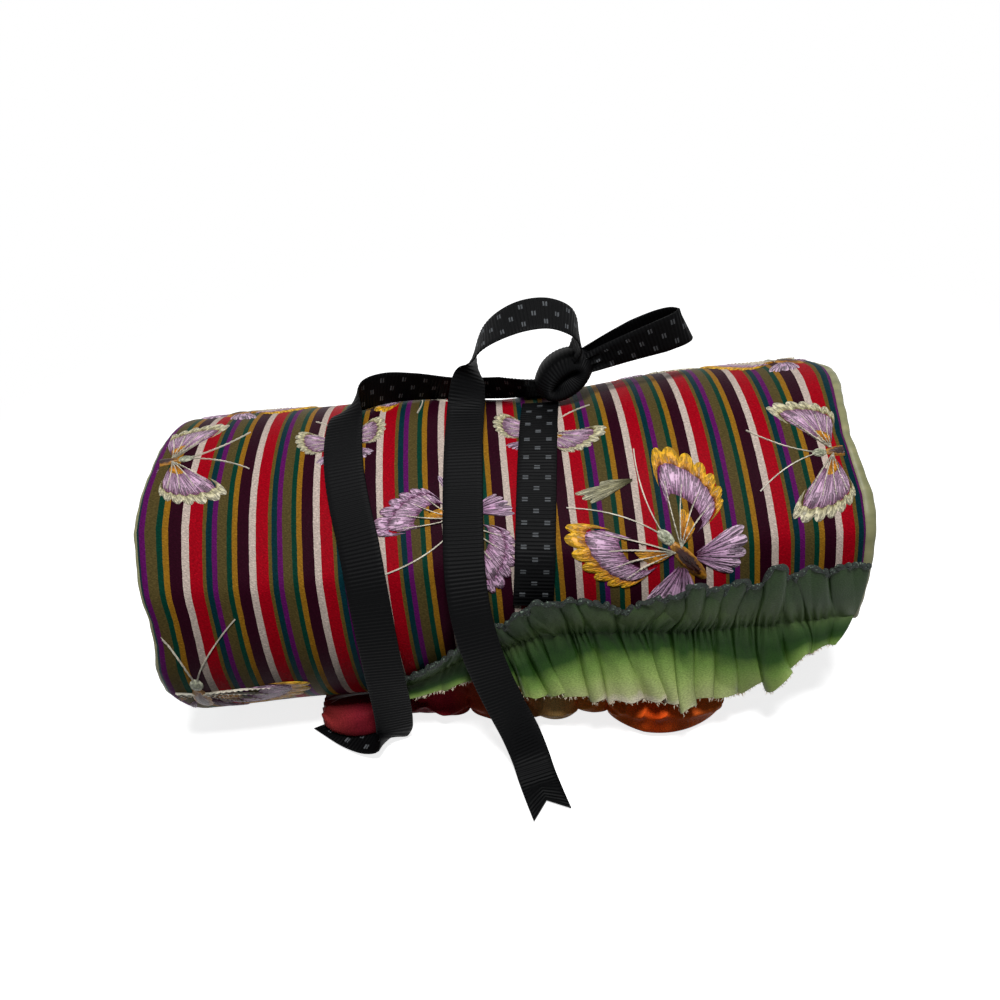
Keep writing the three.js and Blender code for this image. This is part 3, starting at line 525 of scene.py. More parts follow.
# Each butterfly's x, angle and heading, and its size, rim and spread where they aren't the usual ones.
BUTTERFLIES = (
    (54.5, 29.5, 128, 1.35, "float_gold", 48), (107, 60, 180, 1, "float_cream", 66),
    (-12, 51, 236, 1.05, "float_lilac", 66), (-107, 83, 8, 0.95, "float_cream"),
    (-50, 82, 100, 0.7, "float_cream"), (15, 82, 62, 0.8, "float_cream", 84),
    (-103, -15, 84, 1.3, "float_gold", 100), (94, 4, 270, 0.9, "float_cream"),
    (103, 118, 120), (-92, 124, 60), (-30, 130, 300), (52, 138, 40, 1, "float_cream"), (-66, 172, 150),
    (78, 182, 250), (0, 186, 80, 1, "float_cream"), (-98, 222, 20), (-34, 232, 200, 1, "float_cream"),
    (44, 236, 110), (100, 246, 160), (-62, 286, 70), (24, 292, 290, 1, "float_cream"), (86, 304, 30),
    (-20, 350, 130), (-88, 364, 10), (60, 366, 220),
)
floats = [patch for x, angle, *look in BUTTERFLIES for patch in butterfly(x, cloth_at(angle), *look)]
LEAF_X, LEAF_ANGLE, LEAF_LONG = 43, 57.5, 21
for lead, trail, far in ((184, 208, 1), (202, 174, 0.7)):
    half_leaf = fan_patch((LEAF_X, cloth_at(LEAF_ANGLE)), lead, trail, LEAF_LONG, 0.25, 0.04, far, 3)
    floats.append(("float_leaf", half_leaf))
kinds, patches = zip(*floats)
points = np.concatenate([point.reshape(-1, 3) for point, _ in patches])
uvs = np.concatenate([uv.reshape(-1, 2) for _, uv in patches])
firsts = np.cumsum([0] + [point[..., 0].size for point, _ in patches])
grids = [grid_faces(*point.shape[:2]) for point, _ in patches]
quads = np.concatenate([grid + first for grid, first in zip(grids, firsts)])
slots = np.concatenate([np.full(len(grid), thread_names.index(kind)) for grid, kind in zip(grids, kinds)])
corner_x, corner_length = np.moveaxis(points[quads][..., :2], -1, 0)
reached = np.abs(corner_x).max(1) < COVER_HALF - RIM_ROUND
reached &= corner_length.min(1) > cloth_at(edge_angle(corner_x.min(1))) + RIM_ROUND
middle = corner_length.mean(1)
for n, (begin, finish, hinge) in enumerate(segments):
    chosen = reached & (middle >= begin) & (middle < finish)
    if not chosen.any():
        continue
    used, faces = np.unique(quads[chosen], return_inverse=True)
    faces = faces.reshape(-1, 4)
    x, length, proud = points[used].T
    wound = winding(x, angle_at(length), -swell(x, length) - proud)
    a, b, _, d = np.moveaxis(wound[faces], 1, 0)
    out = wound[faces].mean(1) - [0, 0, AXIS_Z]
    inward = np.einsum("ij,ij->i", np.cross(b - a, d - a)[:, 1:], out[:, 1:]) < 0
    faces = np.where(inward[:, None], faces[:, ::-1], faces)
    piece = add_piece("butterflies_" + PANELS[n], wound, faces, uvs[used], thread_materials, slots[chosen])
    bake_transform(piece)

# Green ruffle: ombre taffeta gathered on one seam along the flap's edge.
# Its upper frill is overlocked in black-green and its lower one has a frayed hem.
RUFFLE_LEFT, RUFFLE_RIGHT, RUFFLE_FLOOR = -38, 110, 10.4
RUFFLE_UPPER, RUFFLE_LOWER, RUFFLE_CLOTH = 19, 23, 0.5
RUFFLE_COLUMNS, RUFFLE_ROWS = 720, 49
SEAM_ABOVE = ([-38, -14, -2], [17, 15, 6])
SEAM_LIFT, FRILL_LIFT, HEM_LIFT = 0.9, 2.0, 2.4
HEM_WAVY, HEM_DRAWN_IN = 1.6, 7
UPPER_WIDTHS = ([-38, -18, -4, 8, 20, 26, 34, 42, 60, 90, 111],
                [8, 12, 15, 17, 17, 16.5, 14, 17.5, 19, 22, 24])
LOWER_WIDTHS = ([-38, -20, -6, 5, 20, 45, 65, 73, 82, 92, 111],
                [4, 6, 11, 19.5, 21, 22, 23, 25, 21, 11, 6])
UNDER_TAIL, TAIL_WIDE, TAIL_PRESSES = -7, 8, 0.6
FLARE_X, FLARE_SPREAD, FLARE_DEEPER, FLARE_FORWARD, FLARE_SLANT = 43, 20, 5, 3, 9
PLEATS, PLEATS_FROM, PLEAT_NARROW, PLEAT_BROAD, PLEAT_DEEP = 24, -32, 5, 10.5, 5.4
GATHER_SWELL, GATHER_REACH, RIPPLE_HIGH, CROWD_HIGH = 0.5, 0.35, 1.1, 1.2
OMBRE = [(0, "#CFC6B0"), (0.04, "#AEB47E"), (0.18, "#9CB266"), (0.3, "#76964A"), (0.41, "#2C4C1C"),
         (0.5, "#223E18"), (0.62, "#38522A"), (0.8, "#5A7042"), (1, "#3E5434")]

# Taffeta, dip-dyed: crisp, with a faint sheen and a dye line that wanders. Towards both ends its colour
# shifts darker: at the left end this is painted shade, where the ribbon's tail shades the ruffle.
# Its threads of 0.3 mm are coarser than real ones, so that they show.
taffeta, tree, shader = new_material("green_taffeta", Roughness=0.36, Specular_IOR_Level=0.12)
cloth = node(tree, "UVMap", uv_map="UVMap")
place = node(tree, "SeparateXYZ", {0: cloth}).outputs
dyed = node(tree, "TexNoise", {"Vector": node(tree, "TexCoord").outputs["Object"], "Scale": 120, "Detail": 3})
dyed = node(tree, "MapRange", {0: dyed, 3: -0.003, 4: 0.003})
share = node(tree, "Math", {0: place[1], 1: dyed}, operation="ADD")
share = node(tree, "MapRange", {0: share, 1: -RUFFLE_LOWER / 1000, 2: RUFFLE_UPPER / 1000})
# Painted shade towards the left end, where the ribbon's tail shades the ruffle; the colour is also shifted
# darker towards the right end.
for x_light, x_dark, shift in ((0.05, 0.1, 0.24), (0.026, 0, 0.22)):
    darker = node(tree, "MapRange", {0: place[0], 1: x_light, 2: x_dark, 3: 0, 4: shift})
    share = node(tree, "Math", {0: share, 1: darker}, operation="ADD")
ombre = node(tree, "ValToRGB", {0: share}, OMBRE)
weave = threads(tree, cloth, (3000, 3400), 24, Detail=1)
weave = node(tree, "MapRange", {0: weave, 1: 0.3, 2: 0.7, 3: 0.74, 4: 1.2})
dress(tree, shader, node(tree, "VectorMath", {0: ombre, 3: weave}, operation="SCALE"), weave, 0.5, 0.0002)

random = np.random.default_rng(7)
pleat_widths = random.uniform(PLEAT_NARROW, PLEAT_BROAD, PLEATS)
pleat_ends = PLEATS_FROM + np.concatenate([[0], np.cumsum(pleat_widths)])
pleat_heights, pleat_leans = random.uniform(0.4, 1.35, 40), random.uniform(-1, 1, 40)


def on_ruffle(x, share):
    """Ruffle point at x and share, 1 at the upper edge, 0 on the seam and -1 at the hem.

    The cloth runs up the roll from the seam, and straight down from it to just above the trim below.
    Pleats of uneven width swell it towards both edges; their tops spread flat over narrow valleys and
    lean to either side, and fine gathers crowd at the seam. The ribbon's tail presses them flatter.
    """
    out = np.abs(share)
    lower_out = np.maximum(-share, 0)
    flared = bell(x, FLARE_X, FLARE_SPREAD)
    slanted = x + 5 * share * np.sin(x / 14 + 1) + 1.6 * out * np.sin(x / 5.3 + 3 * share)
    slanted = slanted - FLARE_SLANT * flared * lower_out
    count = np.interp(slanted, pleat_ends, np.arange(len(pleat_ends)))
    pleat = count.astype(int)
    wide = np.diff(pleat_ends)[np.minimum(pleat, PLEATS - 1)]
    calm = (1 - 0.7 * smoothstep(x, 92, 106)) * smoothstep(x, RUFFLE_LEFT - 6, 4)
    calm = calm * (1 - TAIL_PRESSES * bell(x, UNDER_TAIL, TAIL_WIDE))
    turn = 2 * np.pi * count
    wave = np.abs(np.sin(turn / 2)) ** 0.8 * pleat_heights[pleat]
    gathers = GATHER_SWELL * np.sin(3 * turn + 2 * np.sin(x / 3.1)) * bell(out, 0, GATHER_REACH)
    ripple = RIPPLE_HIGH * np.abs(np.sin(x / 3.4 + 2 * np.sin(x / 7.7) + 2.4 * share)) ** 0.6 * out
    crowded = CROWD_HIGH * np.sin(slanted * 1.37 + np.sin(x / 6)) * flared * smoothstep(lower_out, 0.45, 1)
    deep = PLEAT_DEEP * (0.1 + 0.9 * out) ** 0.8 + FLARE_DEEPER * flared * lower_out ** 2
    puff = (deep * wave + gathers + ripple + crowded) * calm + FLARE_FORWARD * flared * lower_out ** 2
    over = calm * wide * out ** 0.7
    x = x - 0.2 * over * np.sin(turn) + 0.22 * over * pleat_leans[pleat] * (0.5 - 0.5 * np.cos(turn))
    drawn_in = HEM_DRAWN_IN * lower_out * smoothstep(x, 88, RUFFLE_RIGHT)
    x = np.clip(x, RUFFLE_LEFT, RUFFLE_RIGHT + 0.4) - drawn_in
    seam = edge_angle(x) + np.interp(x, *SEAM_ABOVE)
    rise = np.interp(x, *UPPER_WIDTHS) * (0.72 + 0.36 * wave * calm) * np.maximum(share, 0)
    lifted = SEAM_LIFT + FRILL_LIFT * out * smoothstep(x, RUFFLE_LEFT, -18) + puff
    upper = winding(x, angle_at(cloth_at(seam) + rise), -lifted)
    top = winding(x, seam, np.full(np.shape(x), -SEAM_LIFT))
    long = np.interp(x, *LOWER_WIDTHS) + HEM_WAVY * calm * out * np.sin(turn + 1)
    drop = np.minimum(long * 0.995, np.maximum(top[..., 2] - RUFFLE_FLOOR, 0))
    forward = np.sqrt(long ** 2 - drop ** 2)
    away = (HEM_LIFT * out + puff) / long
    lower = top + np.stack([0 * x, -forward * out - drop * away, -drop * out + forward * away], -1)
    return np.where((share >= 0)[..., None], upper, lower)


def thickened(grid, thick):
    """Two grids half a thickness to either side of a grid, along its normals."""
    normal = np.cross(np.gradient(grid, axis=0), np.gradient(grid, axis=1))
    normal /= np.maximum(np.linalg.norm(normal, axis=-1, keepdims=True), 1e-9)
    return grid + normal * thick / 2, grid - normal * thick / 2


x, share = np.meshgrid(np.linspace(RUFFLE_LEFT, RUFFLE_RIGHT, RUFFLE_COLUMNS),
                       np.linspace(-1, 1, RUFFLE_ROWS), indexing="ij")
flat = np.stack([x, np.where(share > 0, RUFFLE_UPPER, RUFFLE_LOWER) * share], -1)
ruffle = add_sheet("ruffle_cloth", *thickened(on_ruffle(x, share), RUFFLE_CLOTH), flat, [taffeta])
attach(ruffle, "flap_end")
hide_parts("green_ruffle")


def tube(path, radius, corners):
    """Rings of a round tube of so many corners along a path of points, level with it at every step."""
    along = np.gradient(path, axis=0)
    along /= np.linalg.norm(along, axis=1, keepdims=True)
    side = np.cross(along, [0.3, 0.2, 0.93])
    side /= np.linalg.norm(side, axis=1, keepdims=True)
    rise = np.cross(side, along)
    turn = np.linspace(0, 2 * np.pi, corners, endpoint=False)
    ring = np.cos(turn)[:, None] * side[:, None] + np.sin(turn)[:, None] * rise[:, None]
    return path[:, None] + np.reshape(radius, (-1, 1, 1)) * ring


# Overlock thread, spun: matt black-green with a few pale specks painted on as glints, wound loosely round the
# upper edge.
OVERLOCK_STEPS, OVERLOCK_CORNERS, OVERLOCK_ROUND = 900, 7, 0.8
overlock_thread, tree, shader = new_material("overlock_thread", Roughness=0.8)
spot = node(tree, "TexCoord").outputs["Object"]
twist_and_painted_glints = node(tree, "TexNoise", {"Vector": spot, "Scale": 1500, "Detail": 1})
# The palest stop paints glints: light specks on the matt thread.
twist_and_painted_glints = node(tree, "ValToRGB", {0: twist_and_painted_glints}, [(0.4, "#060B08"), (0.62, "#1A2820"), (0.75, "#8A9A8A")])
dress(tree, shader, twist_and_painted_glints)
x = np.linspace(RUFFLE_LEFT, RUFFLE_RIGHT, OVERLOCK_STEPS)
edge = on_ruffle(x, np.ones(OVERLOCK_STEPS))
loose = np.stack([0.3 * np.sin(x * 2.1), 0.35 * np.sin(x * 1.3 + 2),
                  0.55 * np.sin(x * 2.7 + 2 * np.sin(x / 4))], -1)
wound = tube(edge + loose, OVERLOCK_ROUND + 0.2 * np.sin(x * 4.1 + np.sin(x)), OVERLOCK_CORNERS)
quads = outward(wound, grid_faces(OVERLOCK_STEPS, OVERLOCK_CORNERS, True))
uv = np.stack(np.broadcast_arrays(x[:, None], np.linspace(0, 4, OVERLOCK_CORNERS)), -1)
overlock = add_piece("ruffle_overlock", wound, quads, uv, [overlock_thread])
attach(overlock, "flap_end")

# Fray, loose ends of the taffeta's weft at its raw hem: short pale hairs, each a bent strip of two faces.
FRAYS, FRAY_HALF = 620, 0.11
fray_thread, tree, shader = new_material("fray_thread", Roughness=0.7)
chance = node(tree, "ObjectInfo").outputs["Random"]
dress(tree, shader, node(tree, "ValToRGB", {0: chance}, [(0, "#CBB8A6"), (1, "#C9C8A8")]))
x = np.sort(random.uniform(RUFFLE_LEFT + 1, RUFFLE_RIGHT - 1, FRAYS))
hem = on_ruffle(x, np.full(FRAYS, -1.0))
tip = hem + np.stack([random.normal(0, 0.5, FRAYS), random.normal(-0.5, 0.4, FRAYS),
                      -random.uniform(0.1, 0.6, FRAYS)], -1)
bend = (hem + tip) / 2 + random.normal(0, 0.22, (FRAYS, 3))
wide = np.array([FRAY_HALF, 0, 0])
hairs = np.stack([hem - wide, hem + wide, bend - wide, bend + wide, tip - wide / 3, tip + wide / 3], 1)
quads = (np.arange(FRAYS)[:, None, None] * 6 + np.array([[0, 1, 3, 2], [2, 3, 5, 4]])).reshape(-1, 4)
fray = add_piece("ruffle_fray", hairs, quads, hairs[..., :2], [fray_thread])
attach(fray, "flap_end")

# Ruched trim: burgundy silk that fades to orange, lightly stuffed.
# It is sewn to the flap's edge and drawn by stitches into puffs that rest on the table.
RUCHE_PINCHES = np.array([-70, -43, -18, 1, 19, 29, 68])
RUCHE_FULL = np.array([1.0, 0.7, 0.7, 0.8, 0.2, 1.4, 1.4])
RUCHE_FEET = ([-70, -50, -36, -24, -8, 10, 24, 40, 65], [53, 53, 48.5, 48.5, 51, 55, 58, 60.5, 60])
RUCHE_BULGE, RUCHE_SEAM, RUCHE_FLAT, RUCHE_PUFF = 7, 0.9, 2.2, 8.6
RUCHE_FOOT_Z, RUCHE_BEND_Z, RUCHE_LOWEST, RUCHE_CLOTH = 2.8, 5.8, 1.6, 0.8
RUCHE_COLUMNS, RUCHE_ROWS, RUCHE_WIDTH = 330, 36, 40
CREASE_HIGH, CRIMP_HIGH, CRIMP_LONG, CRIMP_ROOT = 3.6, 1.8, 0.3, 0.55
# Colours of the fade from left to right; the lighter first and last stops are painted highlights.
RUCHE_FADE_AND_PAINTED_LIGHT = [(0, "#A83A38"), (0.1, "#84222E"), (0.34, "#8C1C28"), (0.5, "#D2601E"), (0.6, "#F0C078"),
                (0.68, "#F08A3A"), (0.84, "#FF5A1C"), (1, "#FF8038")]

# Silk, plain-woven: dyed in one long fade, matt in the folds, with soft creases and a slanted grain of
# 0.4 by 0.8 mm, coarser than real threads, so that it shows. The fade carries painted light: its colours are
# lightened to make up for the ruffle's shade, and both ends are lighter as painted highlights.
silk, tree, shader = new_material("burgundy_silk", Roughness=0.4, Specular_IOR_Level=0.01)
cloth = node(tree, "UVMap", uv_map="UVMap")
share = node(tree, "MapRange", {0: node(tree, "SeparateXYZ", {0: cloth}), 1: -0.07, 2: 0.065})
dyed = node(tree, "ValToRGB", {0: share}, RUCHE_FADE_AND_PAINTED_LIGHT)
weave = threads(tree, cloth, (2400, 1300), 30, Detail=1)
weave = node(tree, "MapRange", {0: weave, 1: 0.3, 2: 0.7, 3: 0.66, 4: 1.2})
creases = threads(tree, cloth, (900, 260), Detail=3)
dress(tree, shader, node(tree, "VectorMath", {0: dyed, 3: weave}, operation="SCALE"), creases, 0.25, 0.0008)


def on_ruche(x, down, side):
    """Ruched trim at x, down 0 at its seam and 1 on the table, side 1 on top and 0 beneath.

    It follows a quadratic curve from the flap's edge to the table and swells into a puff between pinches,
    with slanting creases, and crimps that fan out from each pinch.
    """
    sewn = winding(x, edge_angle(x) + 1, np.full(np.shape(x), -0.8))
    place = np.interp(x, RUCHE_PINCHES, np.arange(len(RUCHE_PINCHES)))
    full = np.abs(np.sin(np.pi * place)) ** 0.6 * RUCHE_FULL[place.astype(int)]
    reach = np.interp(x, *RUCHE_FEET) + RUCHE_BULGE * full
    foot = np.stack(np.broadcast_arrays(x, -reach, RUCHE_FOOT_Z), -1)
    bend = np.stack(np.broadcast_arrays(x, np.minimum(sewn[..., 1], PITCH - HALF_DEPTH), RUCHE_BEND_Z), -1)
    t = down[..., None]
    path = (1 - t) ** 2 * sewn + 2 * t * (1 - t) * bend + t ** 2 * foot
    along = 2 * (1 - t) * (bend - sewn) + 2 * t * (foot - bend)
    normal = np.stack([0 * x, along[..., 2], -along[..., 1]], -1)
    normal /= np.linalg.norm(normal, axis=-1, keepdims=True)
    crimp = CREASE_HIGH * (1 - np.abs(np.sin(x * 0.3 + 5 * down + 1.5 * np.sin(x / 6))))
    for aside, phase in ((place % 1, place), (1 - place % 1, 2 * place)):
        fan = np.sin(6 * (down - CRIMP_ROOT) / (aside + 0.2) + phase)
        crimp = crimp + CRIMP_HIGH * fan * np.exp(-aside / CRIMP_LONG)
    thick = RUCHE_SEAM + (RUCHE_FLAT + RUCHE_PUFF * full + crimp) * np.sin(np.pi * down ** 1.9) ** 0.8
    point = path + normal * ((side - 0.5) * thick)[..., None]
    point[..., 2] = np.maximum(point[..., 2], RUCHE_LOWEST + RUCHE_CLOTH * side)
    return point


x, down = np.meshgrid(np.linspace(RUCHE_PINCHES[0], RUCHE_PINCHES[-1], RUCHE_COLUMNS),
                      np.linspace(0, 1, RUCHE_ROWS), indexing="ij")
flat = np.stack([x, RUCHE_WIDTH * down], -1)
ruche = add_sheet("ruched_puffs", on_ruche(x, down, np.ones(x.shape)), on_ruche(x, down, np.zeros(x.shape)),
                  flat, [silk])
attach(ruche, "flap_end")
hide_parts("ruched_trim")

# Ribbon: black grosgrain with woven dots on its right side, 12.7 mm wide, tied round the waist in a bow.
# Every stretch is a ribbed strip along a smooth route; its stops follow the solids' and reach into the knot.
RIBBON_HALF, RIBBON_THICK, SELVEDGE_THINNER = 6.35, 0.55, 0.45
RIBBON_SHARES = np.array([-1, -0.96, -0.7, -0.35, 0, 0.35, 0.7, 0.96, 1])
RIBBON_STEP, RIB, RIB_HIGH, CUT_ZONE, GATHER_HIGH = 0.25, 1.25, 0.1, 14, 2.6
BAND_X, BAND_LIFT, BAND_STEP = 22.0, 0.95, 4.0
DOT_ROW, DOT_ASIDE, DOT_HALF = 0.00385, 0.0036, 0.0009
KNOT_X, KNOT_ANGLE, KNOT_ABOVE = 24, 109.0, 8.9
KNOT = np.array([KNOT_X, *(winding(20.0, KNOT_ANGLE, -0.4)[1:] + [0, KNOT_ABOVE])])
RIGHTWARD, BACKWARD, TOPPED = (1, 0, 0), (0, 1, 0), (0, 0.92, 0.39)
ON_EDGE, STANDING = (0, -0.36, 0.93), (-0.42, 0, 0.9)


def grosgrain(name, dotted):
    """Black ribbed polyester, matt with a fine grain; the dotted side has rows of one and of two pale dots.

    Each dot is two short threads. The grain of 0.3 by 1.1 mm is coarser than real threads, so that it shows.
    """
    material, tree, shader = new_material(name, Roughness=0.5, Specular_IOR_Level=0.06)
    cloth = node(tree, "UVMap", uv_map="UVMap")
    weave = threads(tree, cloth, (900, 3600), Detail=1)
    colour = node(tree, "ValToRGB", {0: weave}, [(0.3, "#020203"), (0.75, "#08090A")])
    if dotted:
        place = node(tree, "SeparateXYZ", {0: cloth}).outputs
        aside = node(tree, "Math", {0: place[1]}, operation="ABSOLUTE")
        masks = []
        for start, off in ((0.5, 0), (0, DOT_ASIDE)):
            rows = node(tree, "Math", {0: place[0], 1: 2 * DOT_ROW}, operation="DIVIDE")
            rows = node(tree, "Math", {0: rows, 1: start}, operation="ADD")
            rows = node(tree, "Math", {0: rows}, operation="FRACT")
            along = node(tree, "Math", {0: rows, 1: 0.5}, operation="SUBTRACT")
            along = node(tree, "Math", {0: along}, operation="ABSOLUTE")
            bars = node(tree, "Math", {0: along, 1: 0.055, 2: 0.034}, operation="COMPARE")
            columns = node(tree, "Math", {0: aside, 1: off, 2: DOT_HALF}, operation="COMPARE")
            masks.append(node(tree, "Math", {0: bars, 1: columns}, operation="MULTIPLY"))
        mask = node(tree, "Math", {0: masks[0], 1: masks[1]}, operation="MAXIMUM")
        mixed = node(tree, "Mix", {0: mask, 6: colour, 7: linear("#585B5E")}, data_type="RGBA")
        colour = mixed.outputs[2]
    dress(tree, shader, colour, weave, 0.3, 0.0001)
    return material


plain_side, dotted_side = grosgrain("grosgrain_plain", False), grosgrain("grosgrain_dotted", True)


def route(stops):
    """Cubic curve through stops of a place and a width direction, resampled at even steps of its length."""
    stops = np.array([[*place, *width] for place, width in stops], float)
    gaps = np.linalg.norm(np.diff(stops[:, :3], axis=0), axis=1) ** 0.5
    knots = np.concatenate([[0], np.cumsum(gaps)])
    slopes = np.gradient(stops, knots, axis=0)
    t = np.linspace(0, knots[-1], 60 * len(stops))
    k = np.clip(np.searchsorted(knots, t, "right") - 1, 0, len(gaps) - 1)
    h, f = gaps[k][:, None], ((t - knots[k]) / gaps[k])[:, None]
    curve = ((2 * f ** 3 - 3 * f ** 2 + 1) * stops[k] + (f ** 3 - 2 * f ** 2 + f) * h * slopes[k]
             + (3 * f ** 2 - 2 * f ** 3) * stops[k + 1] + (f ** 3 - f ** 2) * h * slopes[k + 1])
    lengths = np.concatenate([[0], np.cumsum(np.linalg.norm(np.diff(curve[:, :3], axis=0), axis=1))])
    even = np.arange(0, lengths[-1], RIBBON_STEP)
    return np.stack([np.interp(even, lengths, column) for column in curve.T], -1), even


def add_ribbon(name, stops, sides, nodes, end_cut=(0, 0, 0), pinch=()):
    """Ribbed strip along a route, its end cut back by so much at the width's low side, middle and high side.

    sides are the materials along and against the strip's normal; pinch lists places and shares of its width.
    """
    path, even = route(stops)
    cut = np.interp(RIBBON_SHARES, [-1, 0, 1], end_cut) / CUT_ZONE
    into = np.maximum(even - even[-1] + CUT_ZONE, 0)[:, None]
    lengths = even[:, None] - into * cut
    along = np.gradient(path[:, :3], axis=0)
    along /= np.linalg.norm(along, axis=1, keepdims=True)
    width = path[:, 3:] - along * np.einsum("ij,ij->i", path[:, 3:], along)[:, None]
    width /= np.linalg.norm(width, axis=1, keepdims=True)
    frames = np.concatenate([path[:, :3], width, np.cross(along, width)], 1)
    sampled = np.stack([np.interp(lengths, even, column) for column in frames.T], -1)
    centre, width, normal = sampled[..., :3], sampled[..., 3:6], sampled[..., 6:]
    drawn = np.interp(lengths, *pinch) if len(pinch) else np.ones(lengths.shape)
    inside = np.abs(RIBBON_SHARES) < 0.98
    thick = RIBBON_THICK / 2 * np.where(inside, 1, 1 - SELVEDGE_THINNER)
    thick = thick + RIB_HIGH * np.cos(2 * np.pi * lengths / RIB) * inside
    gathers = GATHER_HIGH * (1 - drawn) * np.sin(9 * RIBBON_SHARES + 1)
    aside = RIBBON_SHARES * RIBBON_HALF
    middle = centre + width * (aside * drawn)[..., None] + normal * gathers[..., None]
    outer = middle + normal * thick[..., None]
    inner = middle - normal * thick[..., None]
    flat = np.stack([lengths, np.broadcast_to(aside, lengths.shape)], -1)
    piece = add_sheet(name, outer, inner, flat, sides, 70)
    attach(piece, "bottom")
    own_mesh(piece)
    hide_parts(*nodes)
    return piece, path[:, :3] / 1000 + [0, AXIS_Y, 0], even[-1] / 1000


def over(x, angle, lift):
    """Place over the roll, lifted off its cover."""
    return winding(float(x), float(angle), -float(lift))


def from_knot(x, y, z):
    """Place from the knot's middle."""
    return KNOT + [x, y, z]


def ahead(x, forward, z):
    """Place ahead of the roll's front."""
    return np.array([x, -HALF_DEPTH - forward, z])


def band(low, high, low_x, high_x):
    """Stops of a band round the waist, leaning sideways on its way."""
    angles = np.arange(low, high + 1, BAND_STEP)
    xs = np.interp(angles, [low, high], [low_x, high_x])
    places = winding(np.full(len(angles), BAND_X), angles, -BAND_LIFT)
    return [((x, *place[1:]), RIGHTWARD) for x, place in zip(xs, places)]


front_band, _, long = add_ribbon("ribbon_band_front", band(15, 103, 7, 16.5), (plain_side, dotted_side),
                                 ["ribbon_front_band"])
back_band, _, long = add_ribbon("ribbon_band_back", band(115, 338, 16.5, 7), (plain_side, dotted_side),
                                ["ribbon_back_band"])

# The ribbon's right end: one limp stretch of the grosgrain, gathered where it leaves the knot.
# It goes up in a high arch, through a half twist, and down the front to a dovetailed end on the table.
right_end, path, long = add_ribbon("ribbon_right_end", [
    (from_knot(2.6, 0, 5.5), BACKWARD), (from_knot(7, 0, 14.2), (0, 0.95, 0.3)),
    (from_knot(5, -0.3, 20.8), TOPPED), (from_knot(-2, -0.6, 25.2), TOPPED),
    (from_knot(-11, -0.7, 25.4), TOPPED), (from_knot(-20, -0.5, 22), (0.1, 0.93, 0.3)),
    (from_knot(-25.6, -0.1, 17.4), (0.15, 0.95, 0.15)), (from_knot(-28.4, 0.2, 12.3), (0.2, 0.98, 0)),
    (from_knot(-30, -1, 8.4), (0.45, 0.9, 0)), (from_knot(-31.4, -5, 4.2), (0.8, 0.6, 0)),
    (from_knot(-32.8, -10.8, -0.5), (0.96, 0.25, 0)), (over(-9.9, 85, 2.4), RIGHTWARD),
    (over(-10.6, 74, 2), RIGHTWARD), (over(-11.5, 60, 1.6), RIGHTWARD), (over(-12.4, 45, 1.8), RIGHTWARD),
    (over(-12.9, 31, 3.4), RIGHTWARD), (over(-12.3, 19, 7.2), RIGHTWARD), (over(-10.8, 8, 9), RIGHTWARD),
    (ahead(-7.8, 8.6, 34), RIGHTWARD), (ahead(-4.2, 11.5, 22), (1, 0.05, 0)),
    (ahead(-1, 13.8, 12), (1, 0.15, 0)), (ahead(1.4, 17.5, 4), (1, 0.25, 0)),
    (ahead(2.9, 23, 1.3), (1, 0.3, 0)), (ahead(4.7, 30, 1.1), (1, 0.35, 0)),
    (ahead(6.8, 37.6, 1.1), (1, 0.4, 0)),
], (plain_side, dotted_side), ["ribbon_tail_right", "ribbon_loop_left"], end_cut=(0, 5.5, 0),
    pinch=([0, 8], [0.6, 1]))

# The ribbon's left end: the same grosgrain, cut on a slant and gathered where it leaves the knot.
# It lies on its edge along the roll's top, goes over in a soft fold and down the front, and is folded under.
left_end, path, long = add_ribbon("ribbon_left_end", [
    (from_knot(-7, 1.5, -4), ON_EDGE), (from_knot(-22, 6.2, -6), ON_EDGE), (from_knot(-38, 7, -4.8), ON_EDGE),
    (from_knot(-52, 4.4, -0.9), (0, -0.2, 0.98)), (from_knot(-61.5, 0.6, 1.9), (0.05, -0.05, 0.99)),
    (from_knot(-68.5, -4.6, 2.9), (0.45, 0.2, 0.87)), (from_knot(-72.4, -11.6, 2.4), (0.8, 0.35, 0.48)),
    (from_knot(-73.6, -20, 0.2), (0.97, 0.15, 0.18)), (over(-49, 72, 1.9), RIGHTWARD),
    (over(-47.2, 58, 1.6), RIGHTWARD), (over(-44.8, 44, 1.5), RIGHTWARD), (over(-43.3, 29, 1.5), RIGHTWARD),
    (over(-42.8, 12, 1.8), RIGHTWARD), (ahead(-42.8, 3, 34), RIGHTWARD),
    (ahead(-42.9, 3.4, 20), (0.99, 0.1, 0)), (ahead(-43.4, 4, 11), (0.97, 0.22, 0)),
    (ahead(-44.2, 4.6, 6.4), (0.93, 0.36, 0)),
    (ahead(-46.4, 5.2, 4.2), (0.84, 0.54, 0)), (ahead(-51.4, 4, 2.4), (0.7, 0.71, 0)),
    (ahead(-58.6, 0, 1.3), (0.64, 0.77, 0)), (ahead(-70, -9.2, 0.8), (0.63, 0.77, 0)),
], (plain_side, dotted_side), ["ribbon_tail_left"], end_cut=(0, 4, 8), pinch=([0, 14], [0.55, 1]))

